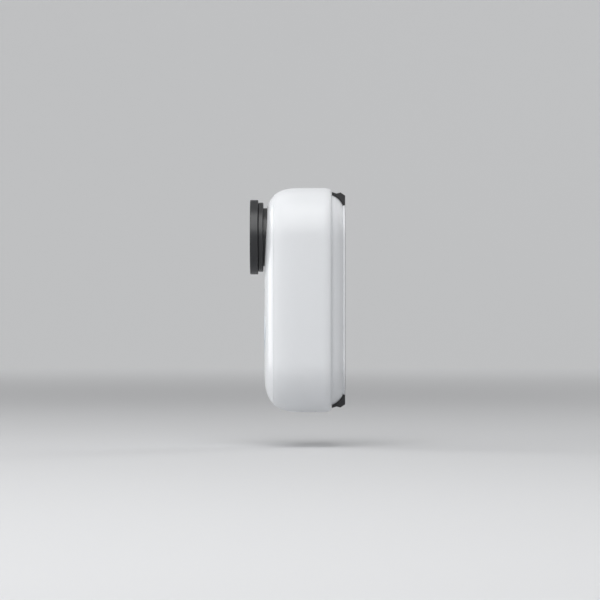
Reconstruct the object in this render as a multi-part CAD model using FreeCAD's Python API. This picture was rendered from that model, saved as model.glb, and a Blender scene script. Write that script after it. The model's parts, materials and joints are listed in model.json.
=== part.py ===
import FreeCAD, Part
import math
import os

Vector = FreeCAD.Vector

# Video doorbell, in millimetres. X runs across, -Y is the front and +Z is up.
# The wall is the plane Y = 0, and the origin is midway between the two wall screws.

# ---- Driving dimensions -----------------------------------------------------------------------

HEIGHT = 110.0
WIDTH = 52.0
CORNER = 24.0            # radius of the outline's corners, seen from the front
CORE_X = WIDTH / 2 - CORNER
CORE_Z = HEIGHT / 2 - CORNER

FACE_Y = -39.55          # front face
FRONT_SEAM_Y = -34.9     # front cover to housing
REAR_SEAM_Y = -6.9       # housing to rear cover
WALL_FRONT = 2.0
WALL_SIDE = 2.4
SEAM_STEP = 0.25         # the front cover is this much smaller than the housing all round

FACE_ROUND_DEPTH = 19.65     # how far back the soft front edge reaches
FACE_ROUND_WIDTH = 20.6      # and how far in from the side
FACE_ROUND_POWER = 3
REAR_ROUND_DEPTH = 4.4
REAR_ROUND_WIDTH = 1.4

SETBACK = 1.38           # the face round the lens lies this far back
RAMP_Z = (13.0, 22.0, 34.0, 43.0)

LENS_Z = 30.85
BUTTON_Z = -16.5
SENSOR_Z = 4.5
SENSOR_X = 9.0
SPEAKER_Z = -38.6

# Lens unit, from the neck forwards
NECK_R = 14.27
NECK_BORE_R = 12.0
NECK_FRONT_Y = -40.1
TURRET_R = 17.0
TURRET_FRONT_Y = -42.5
SPIGOT_R = 15.0
SPIGOT_BORE_R = 12.6
SPIGOT_FRONT_Y = -44.0
GUARD_R = 18.28
GUARD_FRONT_Y = -46.55
GUARD_REAR_Y = -42.62
GUARD_FIT = 0.08         # radial running clearance of the guard on its spigot
BAYONET_TURN = 25.0
BAYONET_LUG = 8.0        # degrees that one lug spans
FLANGE_R = 16.6
FLANGE_Y = (-36.1, -34.6)
FLANGE_TABS = [(16.3, LENS_Z), (-16.3, LENS_Z), (0.0, LENS_Z - 16.3)]
TAB_R = 2.2
CAMERA_POSTS = [(x, LENS_Z + z) for x in (-10.8, 10.8) for z in (-10.8, 10.8)]

# Call button
BUTTON_R = 12.3
BUTTON_FACE_Y = -39.45
LIGHT_RING_R = 14.6
LIGHT_RING_BORE_R = 12.6
LIGHT_RING_FLANGE_R = 15.8

# Boards and inner parts
BUTTON_BOARD_Y = (-34.4, -33.4)
MAIN_BOARD_Y = (-31.0, -30.0)
CHASSIS_Y = (-28.6, -27.2)
CHASSIS_SCREWS = [(x, z) for x in (-15.2, 15.2) for z in (-27.6, 12.5)]
CELL_R = 9.2
CELL_X = 9.4
CELL_Y = -17.8
CELL_Z = (-34.0, 31.0)

# Rear cover and wall plate
REAR_ARC_R = 9.0
REAR_ARC_Y = -9.33
REAR_ARC_INSET = 12.0
REAR_ARC_END_Y = -1.33
LIP_R = CORNER - 8.1
LIP_REAR_Y = -0.15
RECESS_R = 14.7
RECESS_Y = -3.2
REAR_FLOOR_Y = -5.2
PLATE_R = 14.4
PLATE_Y = (-3.0, 0.0)
CLAW_X = 6.0
CLAW_GAP = 0.3
CLAW_ROOT_Y = -1.35
WALL_SCREW_Z = 33.0
WALL_SCREW_R = 2.1
MAGNET_Z = 19.0
MAGNET_R = 5.0
MAGNET_T = 2.0
WINDOW_X = 9.0
WINDOW_Z = 8.0
TERMINALS = [(-4.5, -4.5), (4.5, -4.5)]
REAR_SCREWS = [(x, z) for x in (-11.0, 11.0) for z in (-39.0, 39.0)]
REAR_SWITCH_Z = 41.5
REAR_SWITCH_X = 5.5      # reset button at -X, tamper plunger at +X

# USB port and its flap, on the underside
USB_Y = -18.0
FLAP_X = 7.5
FLAP_Y = (-21.0, -14.5)
FLAP_T = 1.4
HINGE_Y = -22.0
HINGE_R = 0.7
HINGE_X = 3.6
HINGE_Z = -HEIGHT / 2 + HINGE_R


# ---- Shape helpers ----------------------------------------------------------------------------

def box(x, y, z):
    """Box between three (low, high) pairs."""
    return Part.makeBox(x[1] - x[0], y[1] - y[0], z[1] - z[0], Vector(x[0], y[0], z[0]))


def slab(size_x, size_z, y, at=(0.0, 0.0)):
    """Box of the given width and height between two depths, centred on (x, z)."""
    x, z = at
    return box((x - size_x / 2, x + size_x / 2), y, (z - size_z / 2, z + size_z / 2))


def rod(radius, y, at=(0.0, 0.0)):
    """Cylinder along Y between two depths, centred on (x, z)."""
    return Part.makeCylinder(radius, y[1] - y[0], Vector(at[0], y[0], at[1]), Vector(0, 1, 0))


def tube(outer, inner, y, at=(0.0, 0.0)):
    return rod(outer, y, at).cut(rod(inner, y, at))


def oblong(length, width, y, at):
    """Flat bar along X with half-round ends, between two depths."""
    reach = (length - width) / 2
    ends = [rod(width / 2, y, (at[0] + side, at[1])) for side in (-reach, reach)]
    return join(slab(2 * reach, width, y, at), *ends)


def turned(profile, at=(0.0, 0.0)):
    """Solid of revolution about a Y axis through (x, z), from (radius, y) corners."""
    corners = [Vector(radius, y, 0) for radius, y in profile]
    face = Part.Face(Part.makePolygon(corners + corners[:1]))
    solid = face.revolve(Vector(0, 0, 0), Vector(0, 1, 0), 360)
    return solid.translated(Vector(at[0], 0, at[1]))


def sector(radius, y, start, stop, at):
    """Pie slice about a Y axis, between two angles counted from +X towards +Z."""
    face = Part.Face(Part.makePolygon([
        Vector(0, y[0], 0), Vector(radius, y[0], 0), Vector(radius, y[1], 0),
        Vector(0, y[1], 0), Vector(0, y[0], 0)]))
    solid = face.revolve(Vector(0, 0, 0), Vector(0, -1, 0), stop - start)
    solid.rotate(Vector(0, 0, 0), Vector(0, -1, 0), start)
    return solid.translated(Vector(at[0], 0, at[1]))


def join(*shapes):
    """One solid from shapes that overlap."""
    return shapes[0].fuse(list(shapes[1:])).removeSplitter()


def group(shapes):
    """Separate solids in one node."""
    return Part.makeCompound([solid for shape in shapes for solid in shape.Solids])


def carve(shape, *tools):
    return shape.cut(list(tools))


def between(shape, y):
    """The part of a shape between two depths."""
    return shape.common(box((-WIDTH, WIDTH), y, (-HEIGHT, HEIGHT)))


def soft_front(centre, width, depth, power=FACE_ROUND_POWER, steps=16):
    """Quarter of a superellipse in the (r, y) plane: from straight ahead of the centre round to its side."""
    points = []
    for step in range(steps + 1):
        angle = math.pi / 2 * step / steps
        ahead, beside = math.cos(angle), math.sin(angle)
        size = (ahead ** power + beside ** power) ** (1 / power)
        points.append(Vector(centre[0] + width * beside / size, centre[1] - depth * ahead / size, 0))
    curve = Part.BSplineCurve()
    curve.interpolate(Points=points)
    return curve.toShape()


def soft_rear(centre, width, depth):
    """Quarter of an ellipse in the (r, y) plane: from the centre's side round to straight behind it."""
    middle = Vector(centre[0], centre[1], 0)
    ellipse = Part.Ellipse(middle + Vector(0, depth, 0), middle + Vector(width, 0, 0), middle)
    return Part.ArcOfEllipse(ellipse, 0, math.pi / 2).toShape()


def polyline(points):
    """Straight edges through (r, y) points."""
    corners = [Vector(r, y, 0) for r, y in points]
    return [Part.LineSegment(a, b).toShape() for a, b in zip(corners, corners[1:])]


def around(edges):
    """Carry a closed (r, y) profile round the outline: turned corners joined by straight runs.

    r counts outwards from the outline's core rectangle. A profile that starts on r = 0 is filled in.
    """
    face = Part.Face(Part.Wire(edges))
    upright = face.rotated(Vector(0, 0, 0), Vector(0, -1, 0), 90)
    corner = face.revolve(Vector(0, 0, 0), Vector(0, -1, 0), 90).translated(Vector(CORE_X, 0, CORE_Z))
    side = face.extrude(Vector(0, 0, 2 * CORE_Z)).translated(Vector(CORE_X, 0, -CORE_Z))
    end = upright.extrude(Vector(2 * CORE_X, 0, 0)).translated(Vector(-CORE_X, 0, CORE_Z))
    left, down = Vector(1, 0, 0), Vector(0, 0, 1)
    other_corner = corner.mirror(Vector(0, 0, 0), left)
    pieces = [corner, other_corner, corner.mirror(Vector(0, 0, 0), down),
              other_corner.mirror(Vector(0, 0, 0), down), side, side.mirror(Vector(0, 0, 0), left),
              end, end.mirror(Vector(0, 0, 0), down)]
    bounds = face.BoundBox
    if bounds.XMin < 1e-6:
        pieces.append(box((-CORE_X, CORE_X), (bounds.YMin, bounds.YMax), (-CORE_Z, CORE_Z)))
    return join(*pieces)


def plate(radius, y):
    """Flat plate of the doorbell's outline, with corners of the given radius."""
    return around(polyline([(0, y[0]), (radius, y[0]), (radius, y[1]), (0, y[1]), (0, y[0])]))


def hoop(outer, inner, y):
    """Flat ring of the doorbell's outline."""
    return around(polyline([(inner, y[0]), (outer, y[0]), (outer, y[1]), (inner, y[1]), (inner, y[0])]))


def lead(points, radius, bend=1.5):
    """Round wire along straight runs joined by tangent arcs."""
    corners = [Vector(*point) for point in points]
    edges, start = [], corners[0]
    for before, corner, after in zip(corners, corners[1:], corners[2:]):
        into, out = (before - corner).normalize(), (after - corner).normalize()
        half_turn = into.getAngle(out) / 2
        arc_start, arc_end = corner + into * (bend / math.tan(half_turn)), corner + out * (bend / math.tan(half_turn))
        middle = (into + out).normalize()
        arc_top = corner + middle * (bend / math.sin(half_turn) - bend)
        edges += [Part.LineSegment(start, arc_start).toShape(), Part.Arc(arc_start, arc_top, arc_end).toShape()]
        start = arc_end
    edges.append(Part.LineSegment(start, corners[-1]).toShape())
    first = (corners[1] - corners[0]).normalize()
    disc = Part.Wire(Part.Circle(corners[0], first, radius).toShape())
    return Part.Wire(edges).makePipeShell([disc], True, False)


def screw(at, seat_y, end_y, head_r, head_t, shank_r):
    """Pan-head screw driven from the back: head behind seat_y, shank forwards to end_y."""
    top = seat_y + head_t
    slot = head_r * 0.28
    body = join(rod(shank_r, (end_y, seat_y + head_t / 2), at), rod(head_r, (seat_y, top), at))
    cross = [slab(size[0], size[1], (top - head_t * 0.5, top + 1), at)
             for size in ((head_r * 1.3, slot), (slot, head_r * 1.3))]
    return carve(body, *cross)


def front_setback(offset):
    """Everything ahead of the ramped face, moved back by offset."""
    front, back = FACE_Y + offset, FACE_Y + SETBACK + offset
    ahead, top, reach = FACE_Y - 5, HEIGHT, WIDTH
    curve = Part.BezierCurve()
    curve.setPoles([Vector(-reach, y, z) for z, y in zip(RAMP_Z, (front, front, back, back))])
    corners = [Vector(-reach, y, z) for y, z in (
        (back, RAMP_Z[3]), (back, top), (ahead, top), (ahead, RAMP_Z[0]), (front, RAMP_Z[0]))]
    edges = [curve.toShape()] + [Part.LineSegment(a, b).toShape() for a, b in zip(corners, corners[1:])]
    return Part.Face(Part.Wire(edges)).extrude(Vector(2 * reach, 0, 0))


def body_outside(shrink):
    """The white body's outside, smaller by shrink all round, up to the rear seam."""
    radius = CORNER - shrink
    front = soft_front((radius - FACE_ROUND_WIDTH, FACE_Y + FACE_ROUND_DEPTH), FACE_ROUND_WIDTH, FACE_ROUND_DEPTH)
    rear_start = REAR_SEAM_Y - REAR_ROUND_DEPTH
    rear = soft_rear((radius - REAR_ROUND_WIDTH, rear_start), REAR_ROUND_WIDTH, REAR_ROUND_DEPTH)
    profile = (polyline([(0, FACE_Y), (radius - FACE_ROUND_WIDTH, FACE_Y)]) + [front]
               + polyline([(radius, FACE_Y + FACE_ROUND_DEPTH), (radius, rear_start)]) + [rear]
               + polyline([(radius - REAR_ROUND_WIDTH, REAR_SEAM_Y), (0, REAR_SEAM_Y), (0, FACE_Y)]))
    return carve(around(profile), front_setback(0))


def body_inside():
    """The hollow inside the front cover and housing."""
    radius, front = CORNER - WALL_SIDE, FACE_Y + WALL_FRONT
    width, depth = FACE_ROUND_WIDTH - WALL_FRONT, FACE_ROUND_DEPTH - WALL_FRONT
    curve = soft_front((radius - width, front + depth), width, depth)
    profile = (polyline([(0, front), (radius - width, front)]) + [curve]
               + polyline([(radius, front + depth), (radius, 0), (0, 0), (0, front)]))
    return carve(around(profile), front_setback(WALL_FRONT))


# ---- Shell ------------------------------------------------------------------------------------

GASKET_OUT = CORNER - 4.6
GASKET_IN = CORNER - 5.5
GASKET_REAR_Y = -34.2
BOSS_R = 3.0
BOSS_PIN_R = 2.2
SPEAKER_SIZE = (20.0, 10.4)
GRILLE_PITCH = 2.2
GRILLE_R = 0.55
LEDGE_R = 19.4


def front_cover(outside, inside):
    flange_seat = [rod(FLANGE_R + 0.2, (FACE_Y, FLANGE_Y[0]), (0, LENS_Z))]
    flange_seat += [rod(TAB_R + 0.2, (FACE_Y, FLANGE_Y[0]), at) for at in FLANGE_TABS]
    seat = flange_seat[0].fuse(flange_seat[1:]).common(outside)
    bosses = []
    for at in CHASSIS_SCREWS:
        bosses += [rod(BOSS_R, (-37.0, MAIN_BOARD_Y[0]), at), rod(BOSS_PIN_R, (-37.0, CHASSIS_Y[0]), at)]
    bosses += [rod(TAB_R, (-37.0, BUTTON_BOARD_Y[0]), at) for at in BUTTON_BOARD_EARS]
    length, width = SPEAKER_SIZE
    rib = oblong(length + 1.6, width + 1.6, (-37.7, -33.5), SPEAKER_AT)
    rib = rib.cut(oblong(length + 0.2, width + 0.2, (-38, -33), SPEAKER_AT))
    shell = between(outside, (FACE_Y - 1, FRONT_SEAM_Y)).cut(inside)
    holes = [rod(FLANGE_R + 0.2, (FLANGE_Y[0], FRONT_SEAM_Y + 1), (0, LENS_Z))]
    holes += [rod(TAB_R + 0.2, (FLANGE_Y[0], FRONT_SEAM_Y + 1), at) for at in FLANGE_TABS]
    holes += [rod(0.8, (-37.2, FLANGE_Y[0] + 1), at) for at in FLANGE_TABS]
    holes += [rod(NECK_R + 0.08, (FACE_Y - 1, FLANGE_Y[1]), (0, LENS_Z))]
    holes += [rod(LIGHT_RING_R + 0.1, (FACE_Y - 1, -36.0), (0, BUTTON_Z))]
    holes += [rod(LIGHT_RING_FLANGE_R + 0.05, (-37.5, -35.5), (0, BUTTON_Z))]
    holes += [rod(PIR_R + 0.05, (FACE_Y - 1, -36.0), (0, SENSOR_Z))]
    holes += [rod(0.5, (FACE_Y - 1, -36.0), (-SENSOR_X, SENSOR_Z))]
    holes += [rod(LIGHT_PIPE_R + 0.05, (FACE_Y - 1, -36.0), (SENSOR_X, SENSOR_Z))]
    holes += [rod(1.0, (-36.0, CHASSIS_Y[0] + 1), at) for at in CHASSIS_SCREWS]
    holes += [rod(0.8, (-36.4, BUTTON_BOARD_Y[0] + 1), at) for at in BUTTON_BOARD_EARS]
    holes += [rod(GRILLE_R, (FACE_Y - 1, -36.0), (column * GRILLE_PITCH, SPEAKER_Z + row * GRILLE_PITCH))
              for row in (-1, 0, 1) for column in range(-4, 5)]
    return carve(join(shell, seat, rib, *bosses), *holes)


def front_gasket():
    return hoop(GASKET_OUT, GASKET_IN, (FRONT_SEAM_Y, GASKET_REAR_Y))


def housing(outside, inside):
    shell = between(outside, (FRONT_SEAM_Y, REAR_SEAM_Y)).cut(inside)
    ledge = between(outside, (CHASSIS_Y[0] - 1.6, CHASSIS_Y[0])).cut(plate(LEDGE_R, (-31, -28)))
    floor_z = -HEIGHT / 2 + 1.5
    under = plate(CORNER + 5, (-25, -10)).cut(plate(CORNER - 1.5, (-25, -10)))
    recess = under.common(box((-FLAP_X - 0.2, FLAP_X + 0.2), (FLAP_Y[0] - 0.3, FLAP_Y[1] + 0.2), (-60, -45)))
    pocket = under.common(box((-HINGE_X - 0.15, HINGE_X + 0.15), (HINGE_Y - 0.95, FLAP_Y[0]), (-60, -45)))
    pins = Part.makeCylinder(0.40, 2 * HINGE_X + 1.8, Vector(-HINGE_X - 0.9, HINGE_Y, HINGE_Z), Vector(1, 0, 0))
    nail = Part.makeCylinder(2.2, 6, Vector(-3, FLAP_Y[1] + 1.0, -HEIGHT / 2 - 1.2), Vector(1, 0, 0))
    port = usb_outline(9.5, 3.8, (floor_z - 1, -50))
    gasket_groove = front_gasket()
    return carve(join(shell, ledge), recess, pocket, pins, nail, port, gasket_groove)


def rear_arc_r(y, gap=0.0):
    """Outline radius of the rear cover's curved flank at a depth."""
    return CORNER - REAR_ARC_INSET + math.sqrt((REAR_ARC_R + gap) ** 2 - (y - REAR_ARC_Y) ** 2)


def rear_arc(y_start, y_end, gap=0.0):
    """The rear cover's flank as an arc edge, or an arc clear of it by gap."""
    points = [Vector(rear_arc_r(y, gap), y, 0) for y in (y_start, (y_start + y_end) / 2, y_end)]
    return Part.Arc(*points).toShape()


PLUG_R = 21.4
PLUG_Y = (-9.4, -7.3)
PLUG_BORE_R = 19.8
REAR_GASKET_Y = (-8.9, -7.9)
REAR_GASKET_IN = 20.7
REAR_CAVITY_R = 18.4
TERMINAL_POCKET_Y = -5.7


def rear_gasket():
    return hoop(CORNER - WALL_SIDE, REAR_GASKET_IN, REAR_GASKET_Y)


def rear_cover():
    start = rear_arc_r(REAR_SEAM_Y)
    end = rear_arc_r(REAR_ARC_END_Y)
    profile = (polyline([(0, PLUG_Y[0]), (PLUG_R, PLUG_Y[0]), (PLUG_R, PLUG_Y[1]), (start, PLUG_Y[1]),
                         (start, REAR_SEAM_Y)]) + [rear_arc(REAR_SEAM_Y, REAR_ARC_END_Y)]
               + polyline([(end, REAR_ARC_END_Y), (LIP_R - 0.25, REAR_ARC_END_Y), (LIP_R - 0.25, -1.0),
                           (LIP_R, -0.8), (LIP_R, LIP_REAR_Y), (0, LIP_REAR_Y), (0, PLUG_Y[0])]))
    bore = plate(PLUG_BORE_R, (PLUG_Y[0] - 1, PLUG_Y[1]))
    cavity = plate(REAR_CAVITY_R, (PLUG_Y[1] - 0.5, REAR_FLOOR_Y))
    recess = plate(RECESS_R, (RECESS_Y, 1))
    shell = carve(around(profile), bore, cavity, recess)
    bump = slab(2 * WINDOW_X + 2, 2 * WINDOW_Z + 3, (-7.2, REAR_FLOOR_Y + 0.5))
    magnet_rims = [tube(MAGNET_R + 1.2, MAGNET_R + 0.05, (-7.2, REAR_FLOOR_Y + 0.5), (0, z))
                   for z in (-MAGNET_Z, MAGNET_Z)]
    solid = join(shell, bump, *magnet_rims)
    holes = [slab(2 * WINDOW_X - 1, 2 * WINDOW_Z, (TERMINAL_POCKET_Y, 0))]
    holes += [rod(1.5, (-8, -5), at) for at in TERMINALS]
    holes += [rod(1.2, (-6, -3), at) for at in REAR_SCREWS]
    holes += [rod(2.5, (-4.6, -3), at) for at in REAR_SCREWS]
    holes += [rod(MAGNET_R + 0.05, (-7.5, REAR_FLOOR_Y), (0, z)) for z in (-MAGNET_Z, MAGNET_Z)]
    holes += [rod(TAMPER_R + 0.3, (-6, -3), (REAR_SWITCH_X, REAR_SWITCH_Z))]
    holes += [rod(RESET_R + 0.3, (-6, -3), (-REAR_SWITCH_X, REAR_SWITCH_Z))]
    notch_x, notch_z = CLAW_X + 0.3, 38.0
    holes += [box((-notch_x, notch_x), (CLAW_ROOT_Y - 0.3, 1), (notch_z, HEIGHT)),
              box((-notch_x, notch_x), (CLAW_ROOT_Y - 0.3, 1), (-HEIGHT, -notch_z))]
    return carve(solid, rear_gasket(), *holes)


# ---- Wall plate -------------------------------------------------------------------------------

CLAW_PROFILE = [(20.3, 0.0), (21.8, -2.2), (21.3, -4.2), (22.06, -6.4)]


def claws():
    front_y = CLAW_PROFILE[-1][1]
    inner_front = rear_arc_r(front_y, CLAW_GAP)
    inner_rear = rear_arc_r(CLAW_ROOT_Y, CLAW_GAP)
    profile = (polyline(CLAW_PROFILE + [(inner_front, front_y)]) + [rear_arc(front_y, CLAW_ROOT_Y, CLAW_GAP)]
               + polyline([(inner_rear, CLAW_ROOT_Y), (PLATE_R - 1, CLAW_ROOT_Y), (PLATE_R - 1, 0), (20.3, 0)]))
    ring = around(profile)
    return [ring.common(box((-CLAW_X, CLAW_X), (-10, 1), z)) for z in ((30, 60), (-60, -30))]


def wall_plate():
    holes = [slab(2 * WINDOW_X, 2 * WINDOW_Z, (-4, 1))]
    for z in (-WALL_SCREW_Z, WALL_SCREW_Z):
        holes += [rod(WALL_SCREW_R, (-4, 1), (0, z)),
                  turned([(0, -3.5), (4.5, -3.5), (4.0, -3.0), (WALL_SCREW_R, -1.1), (0, -1.1)], (0, z))]
    for z in (-MAGNET_Z, MAGNET_Z):
        holes.append(rod(MAGNET_R + 0.05, (PLATE_Y[0] - 1, PLATE_Y[0] + MAGNET_T), (0, z)))
    return carve(join(plate(PLATE_R, PLATE_Y), *claws()), *holes)


def bracket_magnets():
    return group(rod(MAGNET_R, (PLATE_Y[0], PLATE_Y[0] + MAGNET_T), (0, z)) for z in (-MAGNET_Z, MAGNET_Z))


def unit_magnets():
    return group(rod(MAGNET_R, (REAR_FLOOR_Y - MAGNET_T, REAR_FLOOR_Y), (0, z)) for z in (-MAGNET_Z, MAGNET_Z))


# ---- Lens unit --------------------------------------------------------------------------------

LENS_AT = (0.0, LENS_Z)
LENS_BOARD_Y = (-31.0, -30.0)


def turret_base():
    neck = tube(NECK_R, NECK_BORE_R, (NECK_FRONT_Y, FLANGE_Y[1]), LENS_AT)
    flange = tube(FLANGE_R, NECK_BORE_R, FLANGE_Y, LENS_AT)
    tabs = [rod(TAB_R, FLANGE_Y, at) for at in FLANGE_TABS]
    posts = [rod(1.6, (FLANGE_Y[0], LENS_BOARD_Y[0]), at) for at in CAMERA_POSTS]
    holes = [rod(0.9, (-37, -34), at) for at in FLANGE_TABS]
    holes += [rod(0.8, (-34.0, -30), at) for at in CAMERA_POSTS]
    holes.append(rod(NECK_BORE_R, (-41, -34), LENS_AT))
    outside = rod(FLANGE_R, (-50, -30), LENS_AT)
    return carve(join(neck, flange, *tabs, *[post.common(outside) for post in posts]), *holes)


def turret_ring():
    body = turned([(NECK_BORE_R, NECK_FRONT_Y), (TURRET_R - 0.3, NECK_FRONT_Y), (TURRET_R, NECK_FRONT_Y - 0.3),
                   (TURRET_R, TURRET_FRONT_Y + 0.25), (TURRET_R - 0.25, TURRET_FRONT_Y), (SPIGOT_R, TURRET_FRONT_Y),
                   (SPIGOT_R, SPIGOT_FRONT_Y + 0.2), (SPIGOT_R - 0.2, SPIGOT_FRONT_Y),
                   (SPIGOT_BORE_R, SPIGOT_FRONT_Y), (SPIGOT_BORE_R, TURRET_FRONT_Y),
                   (NECK_BORE_R, TURRET_FRONT_Y)], LENS_AT)
    slots = []
    for start in (90.0, 210.0, 330.0):
        run = sector(SPIGOT_R + 1, (-43.75, -42.75), start - 1.5, start + BAYONET_LUG + BAYONET_TURN + 1.5, LENS_AT)
        entry = sector(SPIGOT_R + 1, (-45.0, -42.75), start + BAYONET_TURN - 1.5,
                       start + BAYONET_LUG + BAYONET_TURN + 1.5, LENS_AT)
        slots += [run.cut(rod(14.1, (-46, -42), LENS_AT)), entry.cut(rod(14.1, (-46, -42), LENS_AT))]
    return carve(body, *slots)


def lens_guard_ring():
    bore = SPIGOT_R + GUARD_FIT
    ring = turned([(bore, GUARD_REAR_Y), (GUARD_R - 0.3, GUARD_REAR_Y), (GUARD_R, GUARD_REAR_Y - 0.3),
                   (GUARD_R, GUARD_FRONT_Y + 0.5), (GUARD_R - 0.15, GUARD_FRONT_Y + 0.15),
                   (GUARD_R - 0.5, GUARD_FRONT_Y), (15.4, GUARD_FRONT_Y), (14.2, GUARD_FRONT_Y + 0.55),
                   (14.2, GUARD_FRONT_Y + 0.7), (bore, GUARD_FRONT_Y + 0.7)], LENS_AT)
    lugs = []
    for start in (90.0, 210.0, 330.0):
        lug = sector(bore + 0.4, (-43.6, -42.9), start, start + BAYONET_LUG, LENS_AT)
        lugs.append(lug.cut(rod(14.3, (-46, -42), LENS_AT)))
    return join(ring, *lugs)


def guard_glass():
    return rod(SPIGOT_R, (GUARD_FRONT_Y + 0.7, GUARD_FRONT_Y + 1.9), LENS_AT)


def guard_seal():
    seal = Part.makeTorus(13.9, 0.28, Vector(0, -44.37, LENS_Z), Vector(0, 1, 0))
    return seal


def lens_barrel():
    return turned([(6.2, -44.2), (6.8, -44.2), (7.0, -44.0), (7.0, -39.0), (5.4, -39.0), (5.4, -33.6),
                   (3.4, -33.6), (3.4, -34.4), (4.0, -34.4), (4.0, -41.4), (5.0, -41.4), (5.0, -43.0)], LENS_AT)


def lens_front_element():
    rim = rod(5.0, (-43.0, -41.4), LENS_AT)
    dome = Part.makeSphere(14.0, Vector(0, -43.9 + 14.0, LENS_Z)).common(rod(5.0, (-45, -42.5), LENS_AT))
    return join(rim, dome)


def lens_inner_elements():
    front = turned([(0, -40.9), (2.0, -40.7), (4.0, -40.1), (4.0, -39.6), (0, -39.9)], LENS_AT)
    middle = turned([(0, -38.7), (2.0, -38.5), (4.0, -37.9), (4.0, -37.4), (2.0, -36.8), (0, -36.6)], LENS_AT)
    return group([front, middle])


def ir_cut_filter():
    return slab(5.6, 5.6, (-33.3, -33.0), LENS_AT)


def lens_holder():
    block = slab(18.0, 18.0, (-36.0, LENS_BOARD_Y[0]), LENS_AT)
    thread = rod(5.4, (-37, -33.6), LENS_AT)
    throat = slab(5.6, 5.6, (-33.6, -32.6), LENS_AT)
    chamber = slab(12.0, 12.0, (-32.7, LENS_BOARD_Y[0] + 1), LENS_AT)
    relief = tube(20, 11.6, (-37, -34.5), LENS_AT)
    return carve(block, thread, throat, chamber, relief)


def image_sensor():
    return slab(8.4, 7.6, (-32.1, LENS_BOARD_Y[0]), LENS_AT)


def camera_board():
    board = slab(26.0, 26.0, LENS_BOARD_Y, LENS_AT)
    return carve(board, *[rod(0.9, (-32, -29), at) for at in CAMERA_POSTS])


def ir_led_board():
    return tube(SPIGOT_BORE_R - 0.1, 7.7, (TURRET_FRONT_Y - 0.8, TURRET_FRONT_Y), LENS_AT)


def ir_leds():
    leds = []
    for number in range(6):
        angle = math.radians(30 + 60 * number)
        at = (10.1 * math.cos(angle), LENS_Z + 10.1 * math.sin(angle))
        package = slab(2.0, 2.0, (TURRET_FRONT_Y - 1.35, TURRET_FRONT_Y - 0.8), at)
        leds.append(join(package, rod(0.75, (TURRET_FRONT_Y - 1.6, TURRET_FRONT_Y - 1.2), at)))
    return group(leds)


def lens_shroud():
    return tube(7.65, 7.05, (-44.5, -41.6), LENS_AT)


# ---- Call button ------------------------------------------------------------------------------

BUTTON_AT = (0.0, BUTTON_Z)
BUTTON_BOARD_EARS = [(-16.2, BUTTON_Z), (16.2, BUTTON_Z)]
DISH_DEPTH = 0.6
DISH_R = 10.5


def button_cap():
    face = turned([(0, BUTTON_FACE_Y), (BUTTON_R - 0.4, BUTTON_FACE_Y), (BUTTON_R - 0.1, BUTTON_FACE_Y + 0.12),
                   (BUTTON_R, BUTTON_FACE_Y + 0.4), (BUTTON_R, -36.2), (BUTTON_R - 1.0, -36.2),
                   (BUTTON_R - 1.0, -37.5), (0, -37.5)], BUTTON_AT)
    stem = rod(1.6, (-38.0, -35.2), BUTTON_AT)
    tabs = [sector(13.4, (-36.75, -36.2), angle - 9, angle + 9, BUTTON_AT).cut(rod(11.5, (-38, -35), BUTTON_AT))
            for angle in (0.0, 90.0, 180.0, 270.0)]
    ball_r = (DISH_R ** 2 + DISH_DEPTH ** 2) / (2 * DISH_DEPTH)
    dish = Part.makeSphere(ball_r, Vector(0, BUTTON_FACE_Y + DISH_DEPTH - ball_r, BUTTON_Z))
    return carve(join(face, stem, *tabs), dish)


def light_ring():
    return turned([(LIGHT_RING_BORE_R, -39.35), (LIGHT_RING_BORE_R + 0.2, -39.5), (LIGHT_RING_R - 0.2, -39.5),
                   (LIGHT_RING_R, -39.35), (LIGHT_RING_R, -37.5), (LIGHT_RING_FLANGE_R, -37.5),
                   (LIGHT_RING_FLANGE_R, -36.9),
                   (LIGHT_RING_BORE_R, -36.9)], BUTTON_AT)


def button_return_ring():
    """Soft silicone cone that pushes the cap back out."""
    front, rear = -37.48, BUTTON_BOARD_Y[0] - 0.02
    return turned([(6.4, front), (7.4, front), (7.4, front + 0.5), (9.4, rear - 0.6), (9.4, rear), (8.2, rear),
                   (8.2, rear - 0.4), (6.4, front + 0.8)], BUTTON_AT)


def button_board():
    board = rod(15.0, BUTTON_BOARD_Y, BUTTON_AT)
    bar = box((-16.2, 16.2), BUTTON_BOARD_Y, (BUTTON_Z - TAB_R, BUTTON_Z + TAB_R))
    ears = [rod(TAB_R, BUTTON_BOARD_Y, at) for at in BUTTON_BOARD_EARS]
    return carve(join(board, bar, *ears), *[rod(0.9, (-35, -33), at) for at in BUTTON_BOARD_EARS])


def call_switch():
    body = slab(6.0, 6.0, (-35.5, BUTTON_BOARD_Y[0]), BUTTON_AT)
    return carve(body, rod(1.75, (-36, -34.5), BUTTON_AT))


def ring_leds():
    leds = []
    for number in range(8):
        angle = math.radians(22.5 + 45 * number)
        at = (13.4 * math.cos(angle), BUTTON_Z + 13.4 * math.sin(angle))
        leds.append(slab(1.6, 1.6, (BUTTON_BOARD_Y[0] - 0.7, BUTTON_BOARD_Y[0]), at))
    return group(leds)


# ---- Motion, sound and light sensors ----------------------------------------------------------

PIR_R = 4.5
LIGHT_PIPE_R = 0.9
SPEAKER_AT = (0.0, SPEAKER_Z)


def pir_window():
    return turned([(0, -39.5), (PIR_R - 0.2, -39.5), (PIR_R, -39.3), (PIR_R, -37.5), (5.0, -37.5),
                   (5.0, -36.8), (4.2, -36.8), (3.0, -38.2), (0, -38.6)], (0, SENSOR_Z))


def pir_sensor():
    at = (0, SENSOR_Z)
    can = join(rod(4.1, (-35.6, -31.4), at), rod(4.6, (-31.8, MAIN_BOARD_Y[0]), at))
    return carve(can, slab(4.0, 3.0, (-36, -35.3), at))


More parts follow.
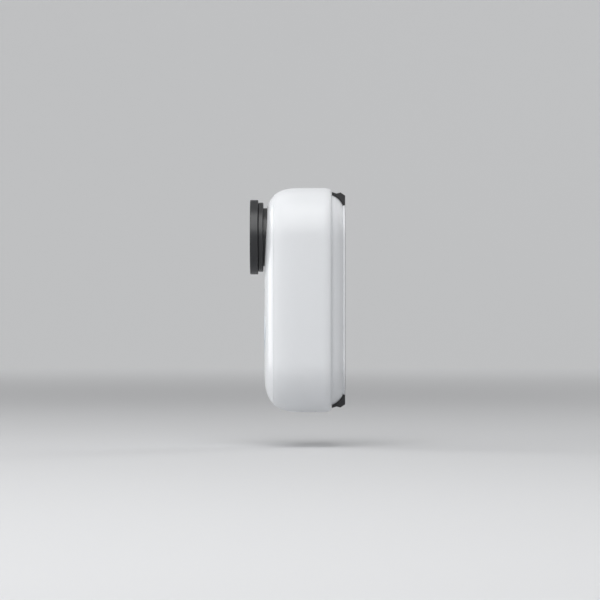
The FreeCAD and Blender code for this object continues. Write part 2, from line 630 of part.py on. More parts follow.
def microphone():
    body = slab(3.8, 3.0, (-32.0, MAIN_BOARD_Y[0]), (-SENSOR_X, SENSOR_Z))
    return carve(body, rod(0.4, (-33, -31.6), (-SENSOR_X, SENSOR_Z)))


def mic_seal():
    return tube(1.5, 0.5, (FACE_Y + WALL_FRONT + 0.25, -32.0), (-SENSOR_X, SENSOR_Z))


def light_sensor():
    pipe = rod(LIGHT_PIPE_R, (-39.5, -32.4), (SENSOR_X, SENSOR_Z))
    chip = slab(2.4, 2.4, (-32.2, MAIN_BOARD_Y[0]), (SENSOR_X, SENSOR_Z))
    return group([pipe, chip])


def speaker_frame():
    length, width = SPEAKER_SIZE
    basket = oblong(length, width, (-36.0, -33.0), SPEAKER_AT)
    front = oblong(length - 2.0, width - 2.0, (-37.0, -34.0), SPEAKER_AT)
    back = oblong(12.4, 6.4, (-34.5, -32.0), SPEAKER_AT)
    return carve(basket, front, back)


def speaker_cone():
    length, width = SPEAKER_SIZE
    surround = oblong(length - 2.2, width - 2.2, (-35.3, -35.0), SPEAKER_AT)
    surround = surround.cut(oblong(length - 5.4, width - 5.4, (-36, -34), SPEAKER_AT))
    dome = oblong(length - 5.0, width - 5.0, (-35.2, -34.6), SPEAKER_AT)
    coil_former = oblong(length - 10.0, width - 6.4, (-35.0, -34.1), SPEAKER_AT)
    return join(surround, dome, coil_former)


def speaker_magnet():
    return oblong(12.2, 6.2, (-34.0, -31.3), SPEAKER_AT)


# ---- Boards, chassis and power ----------------------------------------------------------------

def main_board():
    outline = plate(18.0, MAIN_BOARD_Y).common(box((-30, 30), (-32, -29), (-60, 15.6)))
    return carve(outline, *[rod(BOSS_PIN_R + 0.1, (-32, -29), at) for at in CHASSIS_SCREWS])


def shield_can():
    lid = slab(15.0, 18.0, (-30.0, -28.9), (9.5, -3.0))
    return carve(lid, slab(14.4, 17.4, (-30.0, -29.1), (9.5, -3.0)))


def wifi_module():
    board = slab(12.0, 16.0, (-30.0, -29.6), (-10.5, -3.0))
    can = slab(10.4, 10.0, (-29.7, -28.9), (-10.5, -5.0))
    antenna = slab(8.0, 0.8, (-29.7, -29.3), (-10.5, 2.6))
    return join(board, can, antenna)


def board_connectors():
    front = [((9.4, -25.0), (4.0, 3.0)), ((-8.0, -3.0), (6.0, 2.2))]
    rear = [((3.0, 12.2), (5.0, 3.0)), ((-6.0, 12.2), (7.0, 2.4)), ((0.0, -40.0), (8.0, 3.2))]
    housings = [slab(*size, (-32.1, MAIN_BOARD_Y[0]), at) for at, size in front]
    housings += [slab(*size, (MAIN_BOARD_Y[1], -28.9), at) for at, size in rear]
    return group(housings)


def chassis():
    floor = plate(20.6, CHASSIS_Y)
    rails = [box((x, x + 1.2), (CHASSIS_Y[0], -16.0), (-34.2, 30.0)) for x in (-20.6, 19.4)]
    stops = [box((-17.0, 17.0), (CHASSIS_Y[0], -14.0), z) for z in ((-35.8, -34.4), (33.0, 34.4))]
    posts = [rod(3.0, (CHASSIS_Y[0], REAR_FLOOR_Y), at) for at in REAR_SCREWS]
    posts += [rod(1.4, (CHASSIS_Y[0], -9.4), (0, z)) for z in (38.2, 45.0)]
    shelf = box((-7.0, 7.0), (CHASSIS_Y[0], -16.4), (-44.0, -42.4))
    holes = [rod(1.2, (-30, -26), at) for at in CHASSIS_SCREWS]
    holes += [rod(1.0, (-14, -5), at) for at in REAR_SCREWS]
    holes += [box((0.5, 5.5), (-30, -26), (34.4, 37.2)), box((-2.0, 2.0), (-30, -26), (-41.8, -38.0)),
              box((0.5, 5.5), (-30, -10), (32.0, 35.0))]
    return carve(join(floor, shelf, *rails, *stops, *posts), *holes)


def battery_cells():
    cells = []
    for x in (-CELL_X, CELL_X):
        can = Part.makeCylinder(CELL_R, CELL_Z[1] - CELL_Z[0] - 0.8, Vector(x, CELL_Y, CELL_Z[0]))
        cap = Part.makeCylinder(3.2, 1.5, Vector(x, CELL_Y, CELL_Z[1] - 1.5))
        cells.append(join(can, cap))
    return group(cells)


def battery_strap():
    outer = box((-19.35, 19.35), (-24.0, -7.9), (-31.0, -21.0))
    inner = box((-18.75, 18.75), (-25.0, -8.5), (-32.0, -20.0))
    return outer.cut(inner)


def battery_protection_board():
    board = box((-16.0, 16.0), (-25.0, -11.0), (31.2, 32.2))
    chips = [box((x, x + 4.0), (-20.0, -16.0), (32.2, 32.8)) for x in (-12.0, 7.0)]
    return join(board, *chips)


def battery_lead():
    return group(lead([(x, -22.0, 32.2), (x, -22.0, 35.8), (x, -29.3, 35.8), (x, -29.3, 13.7)], 0.5)
                 for x in (2.2, 3.8))


def speaker_lead():
    return group(lead([(x - 3.0, -32.4, -35.3), (x - 3.0, -32.4, -32.6), (x, -32.4, -30.2),
                       (x, -32.4, -26.5)], 0.35, 1.0) for x in (9.0, 9.8))


def camera_flex():
    return join(box((-9.0, -3.0), (-29.9, -29.75), (13.4, 24.0)), box((-8.5, -3.5), (-30.0, -29.2), (22.0, 25.0)))


def charge_board():
    board = box((-7.8, 7.8), (-16.4, -15.4), (-50.6, -38.0))
    chips = [box((-6.0, -1.0), (-15.4, -14.4), (-45.0, -40.0)), box((2.0, 6.0), (-15.4, -14.6), (-46.0, -41.0))]
    return join(board, *chips)


def usb_outline(width, thickness, z):
    """Stadium-shaped bar along Z, centred on the port."""
    end_x = width / 2 - thickness / 2
    bar = box((-end_x, end_x), (USB_Y - thickness / 2, USB_Y + thickness / 2), z)
    ends = [Part.makeCylinder(thickness / 2, z[1] - z[0], Vector(x, USB_Y, z[0])) for x in (-end_x, end_x)]
    return join(bar, *ends)


def usb_socket():
    shell = usb_outline(8.94, 3.2, (-53.4, -46.0))
    mouth = usb_outline(8.34, 2.6, (-54.0, -47.0))
    tongue = box((-3.35, 3.35), (USB_Y - 0.35, USB_Y + 0.35), (-52.6, -46.5))
    return join(shell.cut(mouth), tongue)


def usb_flap():
    skin = plate(CORNER - 0.02, FLAP_Y).cut(plate(CORNER - FLAP_T, (-30, -10)))
    lid = skin.common(box((-FLAP_X, FLAP_X), FLAP_Y, (-60, -40)))
    tongue_y = (HINGE_Y, FLAP_Y[0] + 0.5)
    tongue = plate(CORNER - 0.02, tongue_y).cut(plate(CORNER - FLAP_T, (-30, -10)))
    tongue = tongue.common(box((-HINGE_X, HINGE_X), tongue_y, (-60, -40)))
    knuckle = Part.makeCylinder(HINGE_R, 2 * HINGE_X, Vector(-HINGE_X, HINGE_Y, HINGE_Z), Vector(1, 0, 0))
    pin = Part.makeCylinder(0.35, 2 * HINGE_X + 1.6, Vector(-HINGE_X - 0.8, HINGE_Y, HINGE_Z), Vector(1, 0, 0))
    return join(lid, tongue, knuckle, pin)


# ---- Back of the unit -------------------------------------------------------------------------

TAMPER_R = 1.5
RESET_R = 1.9


def rear_switch_board():
    return box((-7.5, 7.5), (-9.4, -8.4), (36.5, 46.5))


def rear_switches():
    switches = []
    for x in (-REAR_SWITCH_X, REAR_SWITCH_X):
        body = slab(3.6, 3.6, (-8.4, -7.0), (x, REAR_SWITCH_Z))
        switches.append(carve(body, rod(1.05, (-8.25, -6), (x, REAR_SWITCH_Z))))
    return group(switches)


def plunger(face_y, radius, x):
    """Push rod with a stop flange under the rear floor and a tip inside its switch."""
    at = (x, REAR_SWITCH_Z)
    return join(rod(radius, (-6.1, face_y), at), rod(radius + 0.7, (-6.1, -5.5), at), rod(0.9, (-7.3, -5.8), at))


def tamper_plunger():
    return plunger(-3.3, TAMPER_R, REAR_SWITCH_X)


def reset_button():
    return plunger(-3.5, RESET_R, -REAR_SWITCH_X)


def terminal_screws():
    return group(screw(at, TERMINAL_POCKET_Y, -9.2, 2.4, 1.5, 1.4) for at in TERMINALS)


def terminal_plates():
    plates = []
    for x, z in TERMINALS:
        tab = slab(6.4, 6.4, (-8.4, -7.2), (x, z))
        plates.append(carve(tab, rod(1.4, (-9, -7), (x, z))))
    return group(plates)


# ---- Fasteners --------------------------------------------------------------------------------

def rear_cover_screws():
    return group(screw(at, -4.6, -12.0, 2.2, 1.2, 1.0) for at in REAR_SCREWS)


def chassis_screws():
    return group(screw(at, CHASSIS_Y[1], -35.0, 1.9, 1.0, 1.0) for at in CHASSIS_SCREWS)


def board_screws():
    screws = [screw(at, FLANGE_Y[1], -37.0, 1.5, 0.8, 0.8) for at in FLANGE_TABS]
    screws += [screw(at, LENS_BOARD_Y[1], -33.5, 1.5, 0.8, 0.8) for at in CAMERA_POSTS]
    screws += [screw(at, BUTTON_BOARD_Y[1], -36.2, 1.5, 0.8, 0.8) for at in BUTTON_BOARD_EARS]
    return group(screws)


# ---- Every sub-part, one file each ------------------------------------------------------------

SIMPLE_PARTS = [
    wall_plate, bracket_magnets, rear_cover, front_gasket, rear_gasket, turret_base, turret_ring,
    lens_guard_ring, guard_glass, guard_seal, lens_barrel, lens_front_element, lens_inner_elements,
    ir_cut_filter, lens_holder, image_sensor, camera_board, ir_led_board, ir_leds, lens_shroud,
    button_cap, button_return_ring, light_ring, button_board, call_switch, ring_leds, pir_window, pir_sensor,
    microphone, mic_seal, light_sensor, speaker_frame, speaker_cone, speaker_magnet, main_board,
    shield_can, wifi_module, board_connectors, chassis, battery_cells, battery_strap,
    battery_protection_board, battery_lead, speaker_lead, camera_flex, charge_board, usb_socket,
    usb_flap, rear_switch_board, rear_switches, reset_button, tamper_plunger, terminal_screws,
    terminal_plates, unit_magnets, rear_cover_screws, chassis_screws, board_screws]


def main():
    outside, cover_outside, inside = body_outside(0.0), body_outside(SEAM_STEP), body_inside()
    shapes = {part.__name__: part() for part in SIMPLE_PARTS}
    shapes["front_cover"] = front_cover(cover_outside, inside)
    shapes["housing"] = housing(outside, inside)
    os.makedirs("parts", exist_ok=True)
    for name, shape in shapes.items():
        solids = shape.Solids
        if not solids or not all(solid.isValid() for solid in solids):
            raise ValueError(name + " isn't made of valid solids")
        kept = solids[0] if len(solids) == 1 else Part.makeCompound(solids)
        kept.exportStep(os.path.join("parts", name + ".step"))
        print(name, len(solids), round(sum(solid.Volume for solid in solids), 1))


main()
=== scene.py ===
import json
import math

import bmesh
import bpy
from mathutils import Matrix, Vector


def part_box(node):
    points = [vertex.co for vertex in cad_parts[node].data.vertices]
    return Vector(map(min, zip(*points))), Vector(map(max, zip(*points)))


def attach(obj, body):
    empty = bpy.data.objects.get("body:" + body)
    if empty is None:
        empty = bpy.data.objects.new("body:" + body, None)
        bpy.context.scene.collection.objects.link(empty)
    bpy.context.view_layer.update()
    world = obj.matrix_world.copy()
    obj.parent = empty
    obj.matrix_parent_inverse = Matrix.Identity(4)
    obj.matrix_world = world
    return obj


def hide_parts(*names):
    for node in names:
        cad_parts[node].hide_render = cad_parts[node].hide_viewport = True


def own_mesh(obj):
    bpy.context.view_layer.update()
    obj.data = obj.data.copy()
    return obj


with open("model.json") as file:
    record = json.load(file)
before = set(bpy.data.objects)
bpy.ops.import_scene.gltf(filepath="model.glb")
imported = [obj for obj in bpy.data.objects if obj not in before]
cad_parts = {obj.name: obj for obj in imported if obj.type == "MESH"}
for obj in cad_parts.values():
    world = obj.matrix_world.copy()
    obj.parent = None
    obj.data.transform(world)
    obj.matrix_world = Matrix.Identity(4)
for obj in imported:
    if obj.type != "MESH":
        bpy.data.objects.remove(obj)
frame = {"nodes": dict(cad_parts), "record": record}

# Looks of the video doorbell. Lengths are millimetres unless a name ends in _M, and MM turns them
# into Blender's metres. X runs across, -Y is the front and +Z is up.

MM = 0.001
scene = bpy.context.scene
nodes = frame["nodes"]
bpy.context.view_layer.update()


# ---- Camera -----------------------------------------------------------------------------------

PICTURE_WIDTH = 294.8        # across the whole picture, at the object's middle
CAMERA_LENS, CAMERA_SENSOR = 200.0, 36.0
AIM = Vector((0.0, -22.1, 0.0))


def make_camera():
    """Looks straight at the object's +X side, from far enough for nearly parallel lines."""
    data = bpy.data.cameras.new("camera")
    data.lens, data.sensor_width = CAMERA_LENS, CAMERA_SENSOR
    camera = bpy.data.objects.new("camera", data)
    camera.location = (AIM + Vector((PICTURE_WIDTH * CAMERA_LENS / CAMERA_SENSOR, 0, 0))) * MM
    camera.rotation_mode = "QUATERNION"
    camera.rotation_quaternion = Vector((-1, 0, 0)).to_track_quat("-Z", "Y")
    scene.collection.objects.link(camera)
    scene.camera = camera


make_camera()
scene.view_settings.view_transform = "Standard"


# ---- Node materials ---------------------------------------------------------------------------

materials = {}
NOISE_SPAN = (0.3, 0.7)      # most of a noise's values lie between these
BEVEL_SAMPLES = 4


class Shader:
    """A node material under construction, kept in materials, with coordinates in millimetres."""

    def __init__(self, name):
        self.material = materials[name] = bpy.data.materials.new(name)
        self.material.use_nodes = True
        self.tree = self.material.node_tree
        self.tree.nodes.clear()
        self.output = self.add("ShaderNodeOutputMaterial")
        self.bsdf = self.add("ShaderNodeBsdfPrincipled")
        self.link(self.bsdf, "BSDF", self.output, "Surface")
        coordinates = self.add("ShaderNodeTexCoord")
        scaled = self.add("ShaderNodeVectorMath", operation="SCALE")
        scaled.inputs["Scale"].default_value = 1 / MM
        self.link(coordinates, "Object", scaled, 0)
        self.place = (scaled, "Vector")

    def add(self, kind, **settings):
        node = self.tree.nodes.new(kind)
        for name, value in settings.items():
            setattr(node, name, value)
        return node

    def link(self, source, output, target, socket):
        self.tree.links.new(source.outputs[output], target.inputs[socket])

    def values(self, node, **values):
        """Set sockets, whose names are given with _ for a space."""
        for name, value in values.items():
            node.inputs[name.replace("_", " ")].default_value = value
        return node

    def surface(self, **values):
        return self.values(self.bsdf, **values)

    def noise(self, scale, detail=2.0, stretch=None):
        """Noise with this many cells per millimetre."""
        node = self.values(self.add("ShaderNodeTexNoise"), Scale=scale, Detail=detail)
        place = self.place
        if stretch:
            mapping = self.add("ShaderNodeMapping")
            mapping.inputs["Scale"].default_value = stretch
            self.link(*place, mapping, "Vector")
            place = (mapping, "Vector")
        self.link(*place, node, "Vector")
        return (node, "Fac")

    def cells(self, scale):
        """Distance to the middle of the nearest cell, with this many cells per millimetre."""
        node = self.values(self.add("ShaderNodeTexVoronoi", feature="F1"), Scale=scale)
        self.link(*self.place, node, "Vector")
        return (node, "Distance")

    def remap(self, source, low, high, from_low=0.0, from_high=1.0):
        node = self.add("ShaderNodeMapRange")
        for socket, value in zip(range(1, 5), (from_low, from_high, low, high)):
            node.inputs[socket].default_value = value
        self.link(*source, node, "Value")
        return (node, "Result")

    def blend(self, source, dark, light):
        """A colour between two, by a value."""
        node = self.add("ShaderNodeMix", data_type="RGBA")
        for socket, colour in zip(node.inputs[6:8], (dark, light)):
            socket.default_value = (*colour, 1)
        self.link(*source, node, 0)
        return (node, 2)

    def drive(self, source, socket):
        self.link(*source, self.bsdf, socket)

    def bump(self, height, depth, after=None):
        """Relief of the given depth in millimetres, on top of another normal."""
        node = self.values(self.add("ShaderNodeBump"), Strength=1.0, Distance=depth * MM)
        self.link(*height, node, "Height")
        if after:
            self.link(*after, node, "Normal")
        return (node, "Normal")

    def soft_edges(self, radius):
        """Normals that round an edge by this many millimetres."""
        node = self.add("ShaderNodeBevel", samples=BEVEL_SAMPLES)
        node.inputs["Radius"].default_value = radius * MM
        return (node, "Normal")


def tinted(colour, factor):
    return tuple(channel * factor for channel in colour)


def moulded(name, colour, roughness, grain=6.0, grain_depth=0.004, patchy=0.02, edge=0.12, **surface):
    """Moulded plastic: spark-eroded grain, slightly uneven gloss and colour, softened edges."""
    shader = Shader(name)
    slow = shader.noise(0.08, 3.0)
    shader.drive(shader.blend(slow, tinted(colour, 1 - patchy), tinted(colour, 1 + patchy)), "Base Color")
    fine = shader.noise(grain, 3.0)
    shader.drive(shader.remap(fine, roughness - 0.05, roughness + 0.05, *NOISE_SPAN), "Roughness")
    normal = shader.soft_edges(edge) if edge else None
    shader.drive(shader.bump(fine, grain_depth, after=normal), "Normal")
    shader.surface(**surface)


def metal(name, colour, roughness, grain_stretch=(1, 1, 1), **surface):
    """Worked metal with a directional grain."""
    shader = Shader(name)
    grain = shader.noise(3.0, 4.0, grain_stretch)
    shader.drive(shader.blend(grain, tinted(colour, 0.9), tinted(colour, 1.05)), "Base Color")
    shader.drive(shader.remap(grain, roughness * 0.7, roughness * 1.4, *NOISE_SPAN), "Roughness")
    shader.drive(shader.bump(grain, 0.003, after=shader.soft_edges(0.08)), "Normal")
    shader.surface(Metallic=1.0, **surface)


def circuit_board(name, mask, copper):
    """Solder mask with traces just under it and small vias."""
    shader = Shader(name)
    brick = shader.values(shader.add("ShaderNodeTexBrick"), Scale=0.55, Mortar_Size=0.05, Bias=0.0)
    shader.link(*shader.place, brick, "Vector")
    dots = shader.remap(shader.cells(0.6), 1.0, 0.0, 0.10, 0.14)
    pattern = shader.add("ShaderNodeMath", operation="MAXIMUM")
    shader.link(brick, "Fac", pattern, 0)
    shader.link(*dots, pattern, 1)
    shader.drive(shader.blend((pattern, 0), mask, copper), "Base Color")
    shader.drive(shader.bump((pattern, 0), 0.02), "Normal")
    shader.drive(shader.remap(shader.noise(0.9), 0.28, 0.42), "Roughness")


def clear_glass(name, tint, mirror):
    """Flat glass that shows what is behind it, darkened by its tint.

    It mirrors the share mirror of the room from straight in front, and all of it at a grazing angle.
    """
    shader = Shader(name)
    shader.surface(Base_Color=(0.55, 0.60, 0.70, 1), Metallic=1.0)
    shader.drive(shader.remap(shader.noise(0.2), 0.01, 0.03), "Roughness")
    through = shader.add("ShaderNodeBsdfTransparent")
    through.inputs["Color"].default_value = (*tint, 1)
    slant = shader.values(shader.add("ShaderNodeLayerWeight"), Blend=0.5)
    steep = shader.add("ShaderNodeMath", operation="POWER")
    steep.inputs[1].default_value = 5.0
    shader.link(slant, "Facing", steep, 0)
    share = shader.remap((steep, 0), mirror, 1.0)
    mix = shader.add("ShaderNodeMixShader")
    shader.link(*share, mix, 0)
    shader.link(through, "BSDF", mix, 1)
    shader.link(shader.bsdf, "BSDF", mix, 2)
    shader.link(mix, "Shader", shader.output, "Surface")


def coated_lens(name, film_thickness, glint):
    """Dark lens glass whose thin coating tints its reflections."""
    shader = Shader(name)
    slow = shader.noise(0.15)
    shader.drive(shader.blend(slow, (0.004, 0.004, 0.010), (0.008, 0.006, 0.016)), "Base Color")
    shader.drive(shader.remap(slow, 0.015, 0.04), "Roughness")
    shader.surface(IOR=1.7, Specular_Tint=(*glint, 1), Coat_Weight=0.15, Coat_Roughness=0.02,
                   Thin_Film_Thickness=film_thickness, Thin_Film_IOR=1.38)


def milky(name, colour, roughness, depth):
    """Translucent diffusing plastic."""
    shader = Shader(name)
    slow = shader.noise(0.2, 3.0)
    shader.drive(shader.blend(slow, tinted(colour, 0.97), tinted(colour, 1.02)), "Base Color")
    shader.drive(shader.remap(shader.noise(8.0), roughness - 0.04, roughness + 0.06), "Roughness")
    shader.drive(shader.bump(shader.noise(8.0), 0.002, after=shader.soft_edges(0.1)), "Normal")
    shader.surface(Subsurface_Weight=0.6, Subsurface_Scale=depth * MM, Subsurface_Radius=(1.0, 1.0, 1.0))


WHITE = (0.80, 0.815, 0.835)
INK_RELIEF = 0.002

# Finishes of the record's slots.
moulded("face_gloss", tinted(WHITE, 1.10), 0.30, grain=10.0, grain_depth=0.0008, patchy=0.005,
        Coat_Weight=0.35, Coat_Roughness=0.12)
moulded("white_shell", WHITE, 0.42, grain=5.0, grain_depth=0.0025, patchy=0.008, edge=0.15)
moulded("turret_dark", (0.012, 0.013, 0.015), 0.38, grain=7.0, grain_depth=0.005, patchy=0.06,
        Specular_IOR_Level=0.6)
moulded("bracket_black", (0.020, 0.020, 0.022), 0.48, grain=4.0, grain_depth=0.008, patchy=0.1)
clear_glass("guard_glass", (0.84, 0.87, 0.91), 0.04)
coated_lens("lens_glass", 467.0, (0.55, 0.50, 1.0))
milky("light_diffuser", (0.66, 0.71, 0.76), 0.35, 1.2)
milky("motion_window", (0.60, 0.61, 0.62), 0.45, 0.8)
moulded("seal_rubber", (0.015, 0.015, 0.015), 0.7, grain_depth=0.01, patchy=0.1)
moulded("flap_rubber", tinted(WHITE, 0.98), 0.5, grain=5.0, patchy=0.01)
circuit_board("circuit_board", (0.006, 0.035, 0.016), (0.02, 0.09, 0.04))
moulded("chip_black", (0.015, 0.015, 0.016), 0.55, grain=9.0, patchy=0.15)
moulded("inner_plastic", (0.018, 0.018, 0.02), 0.5, grain=4.0, patchy=0.1)
moulded("battery_wrap", (0.03, 0.11, 0.26), 0.25, grain=0.4, patchy=0.1, Coat_Weight=0.5)
moulded("cable_jacket", (0.30, 0.015, 0.015), 0.4, grain=2.0, patchy=0.1)
moulded("flex_film", (0.35, 0.13, 0.02), 0.25, grain=1.5, patchy=0.2)
metal("steel", (0.52, 0.52, 0.54), 0.3, (1, 1, 6))
metal("nickel", (0.62, 0.60, 0.57), 0.18)
metal("brass_plate", (0.62, 0.42, 0.14), 0.25, (6, 1, 1))

# Finishes that only this script's own pieces have, apart from the board behind the guard glass.
circuit_board("mask_black", (0.010, 0.011, 0.013), (0.020, 0.022, 0.026))
moulded("border_ink", (0.004, 0.004, 0.005), 0.3, grain=2.0, grain_depth=0.001, edge=0)
coated_lens("inner_lens_glass", 384.0, (0.6, 1.0, 0.7))
moulded("led_ceramic", (0.62, 0.59, 0.52), 0.5, edge=0.05)
moulded("led_lens", (0.20, 0.17, 0.12), 0.12, grain=1.0, grain_depth=0.001, edge=0,
        Coat_Weight=0.8, Coat_Roughness=0.03)
moulded("mark_paint", (0.60, 0.61, 0.62), 0.5, grain=8.0, grain_depth=INK_RELIEF, edge=0)
moulded("pad_print", (0.16, 0.17, 0.19), 0.5, grain=8.0, grain_depth=INK_RELIEF, edge=0)

for part in frame["record"]["subparts"]:
    nodes[part["node"]].material_slots[0].material = materials[part["material_slot"]]
nodes["ir_led_board"].material_slots[0].material = materials["mask_black"]


# ---- Dimensions the pieces share --------------------------------------------------------------

def node_span(name, axis):
    """Lowest and highest coordinate of a CAD node along an axis, in millimetres."""
    low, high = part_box(name)
    return low[axis] / MM, high[axis] / MM


def node_centre(name):
    """(x, z) of the middle of a CAD node, in millimetres."""
    return tuple(sum(node_span(name, axis)) / 2 for axis in (0, 2))


HALF_WIDTH, HALF_HEIGHT = node_span("housing", 0)[1], node_span("housing", 2)[1]
CORNER = 24.0                # radius of the outline's corners
CORE_X, CORE_Z = HALF_WIDTH - CORNER, HALF_HEIGHT - CORNER
SEAM_STEP = 0.25             # the front cover is this much smaller than the housing all round
FACE_Y = node_span("front_cover", 1)[0]
FRONT_SEAM_Y, REAR_SEAM_Y = node_span("housing", 1)
ROUND_DEPTH, ROUND_WIDTH, ROUND_POWER = 19.65, 20.6, 3
ROUND_END_Y = FACE_Y + ROUND_DEPTH
REAR_ROUND_DEPTH, REAR_ROUND_WIDTH = 4.4, 1.4
WALL_FRONT, WALL_SIDE = 2.0, 2.4
BEHIND_FACE_Y = FACE_Y + WALL_FRONT + 0.05  # flanges of parts in the face start here
SETBACK = 1.38               # the face round the lens lies this far back
RAMP_Z = (13.0, 22.0, 34.0, 43.0)
CREASE_BLEND = 0.35          # how softly the set-back face meets the rounded edge

LENS = node_centre("lens_guard_ring")
BUTTON = node_centre("button_cap")
MOTION = node_centre("pir_window")
MICROPHONE = node_centre("mic_seal")
LIGHT_PIPE = node_centre("light_sensor")
SPEAKER = node_centre("speaker_magnet")


# ---- Mesh helpers -----------------------------------------------------------------------------

MERGE = 0.001                # points nearer than this are one point
CAD_MERGE = 0.0001           # the same for a copy of a CAD mesh


def link_mesh(name, points, faces):
    """A mesh object from millimetre points, with coinciding points merged."""
    work = bmesh.new()
    verts = [work.verts.new(Vector(point) * MM) for point in points]
    for face in faces:
        work.faces.new([verts[index] for index in face])
    bmesh.ops.remove_doubles(work, verts=work.verts, dist=MERGE * MM)
    bmesh.ops.recalc_face_normals(work, faces=work.faces)
    mesh = bpy.data.meshes.new(name)
    work.to_mesh(mesh)
    work.free()
    mesh.shade_smooth()
    made = bpy.data.objects.new(name, mesh)
    scene.collection.objects.link(made)
    return made


def edit_mesh(piece, edit):
    """Run edit(work) on a piece's mesh."""
    work = bmesh.new()
    work.from_mesh(piece.data)
    edit(work)
    work.to_mesh(piece.data)
    work.free()
    return piece


def drop_slivers(work):
    bmesh.ops.dissolve_degenerate(work, edges=work.edges, dist=MERGE * MM)


def join_coplanar(work):
    bmesh.ops.dissolve_limit(work, angle_limit=math.radians(0.5), verts=work.verts, edges=work.edges)


def softened(corners, steps=5):
    """(r, y) points of a profile. A corner given as (r, y, radius) is rounded."""
    points = []
    for before, corner, after in zip(corners[-1:] + corners[:-1], corners, corners[1:] + corners[:1]):
        here = Vector(corner[:2])
        if len(corner) == 2:
            points.append(here)
            continue
        radius = corner[2]
        into, out = ((Vector(other[:2]) - here).normalized() for other in (before, after))
        half = into.angle(out) / 2
        middle = here + (into + out).normalized() * radius / math.sin(half)
        reach = radius / math.tan(half)
        start, end = here + into * reach - middle, here + out * reach - middle
        first, turn = math.atan2(start.y, start.x), start.angle_signed(end)
        for step in range(steps + 1):
            angle = first - turn * step / steps
            points.append(middle + radius * Vector((math.cos(angle), math.sin(angle))))
    return [tuple(point) for point in points]


def skin(loops, closed=False):
    """Points and faces that join closed loops of points, and the last loop to the first if closed."""
    sides = len(loops[0])
    points = [point for loop in loops for point in loop]
    faces = []
    for ring in range(len(loops) if closed else len(loops) - 1):
        here, there = ring * sides, (ring + 1) % len(loops) * sides
        faces += [(here + side, here + (side + 1) % sides, there + (side + 1) % sides, there + side)
                  for side in range(sides)]
    return points, faces


def grid_faces(first, rows, columns):
    """Faces of a grid of points that are numbered row by row from first."""
    return [(corner, corner + 1, corner + columns + 1, corner + columns)
            for row in range(rows - 1)
            for corner in range(first + row * columns, first + (row + 1) * columns - 1)]


def turned(name, profile, at, sides=128, start=0.0):
    """Solid of revolution about a Y axis through (x, z), or a prism when it has few sides.

    A profile that starts off the axis closes on itself.
    """
    turns = [start + 2 * math.pi * side / sides for side in range(sides)]
    loops = [[(at[0] + r * math.cos(turn), y, at[1] + r * math.sin(turn)) for turn in turns]
             for r, y in profile]
    return link_mesh(name, *skin(loops, profile[0][0] > 0))


def prism(name, loops):
    """Solid that joins closed loops of points and is capped at both ends."""
    points, sides = skin(loops)
    count = len(loops[0])
    caps = [tuple(range(count)), tuple(range(len(points) - count, len(points)))]
    return link_mesh(name, points, caps + sides)


def slab(name, front, back):
    """Thin solid between two grids of points, given as lists of rows."""
    rows, columns = len(front), len(front[0])
    count = rows * columns
    points = [point for grid in (front, back) for row in grid for point in row]
    rim = [(row * columns + side, (row + 1) * columns + side)
           for row in range(rows - 1) for side in (0, columns - 1)]
    rim += [(first + column, first + column + 1)
            for first in (0, count - columns) for column in range(columns - 1)]
    faces = grid_faces(0, rows, columns) + grid_faces(count, rows, columns)
    return link_mesh(name, points, faces + [(a, b, count + b, count + a) for a, b in rim])


def tablet(at, size, y, edge=0.05):
    """Small block with chamfered front edges, centred on (x, z)."""
    half_x, half_z = size[0] / 2, size[1] / 2
    rims = [(half_x - edge, half_z - edge, y[0]), (half_x, half_z, y[0] + edge), (half_x, half_z, y[1])]
    signs = ((1, 1), (-1, 1), (-1, -1), (1, -1))
    return prism("tablet", [[(at[0] + across * x, depth, at[1] + up * z) for across, up in signs]
                            for x, z, depth in rims])


CORNER_STEPS, LONG_STEPS, SHORT_STEPS = 26, 32, 3


def outline_stations():
    """(x, z, across, up) round the outline's core rectangle: a place and the direction outwards."""
    stations = []
    corners = ((1, 1), (-1, 1), (-1, -1), (1, -1))
    for quarter, (corner, following) in enumerate(zip(corners, corners[1:] + corners[:1])):
        base, target = Vector(corner), Vector(following)
        for step in range(CORNER_STEPS + 1):
            angle = math.pi / 2 * (quarter + step / CORNER_STEPS)
            stations.append((base, angle))
        run = LONG_STEPS if quarter % 2 else SHORT_STEPS
        stations += [(base.lerp(target, step / run), angle) for step in range(1, run)]
    return [(base.x * CORE_X, base.y * CORE_Z, math.cos(angle), math.sin(angle)) for base, angle in stations]


def swept(name, profile, depth_at=None):
    """Solid from an (r, y) profile carried round the doorbell's outline. r counts outwards from the core.

    depth_at(y, z, ring) may move a point along Y. A profile that starts on the core is filled in there,
    and any other closes on itself.
    """
    def placed(x, y, z, ring):
        return (x, depth_at(y, z, ring) if depth_at else y, z)

    stations = outline_stations()
    loops = [[placed(x + r * across, y, z + r * up, ring) for x, z, across, up in stations]
             for ring, (r, y) in enumerate(profile)]
    on_core = profile[0][0] == 0
    points, faces = skin(loops, not on_core)
    if on_core:
        for ring in (0, len(profile) - 1):
            faces += grid_faces(len(points), SHORT_STEPS + 1, LONG_STEPS + 1)
            points += [placed(CORE_X * (2 * column / SHORT_STEPS - 1), profile[ring][1],
                              CORE_Z * (2 * row / LONG_STEPS - 1), ring)
                       for column in range(SHORT_STEPS + 1) for row in range(LONG_STEPS + 1)]
    return link_mesh(name, points, faces)


def bake(solid):
    """Make a piece's modifiers part of its mesh."""
    bpy.context.view_layer.update()
    evaluated = solid.evaluated_get(bpy.context.evaluated_depsgraph_get())
    mesh = bpy.data.meshes.new_from_object(evaluated)
    solid.modifiers.clear()
    solid.data = mesh


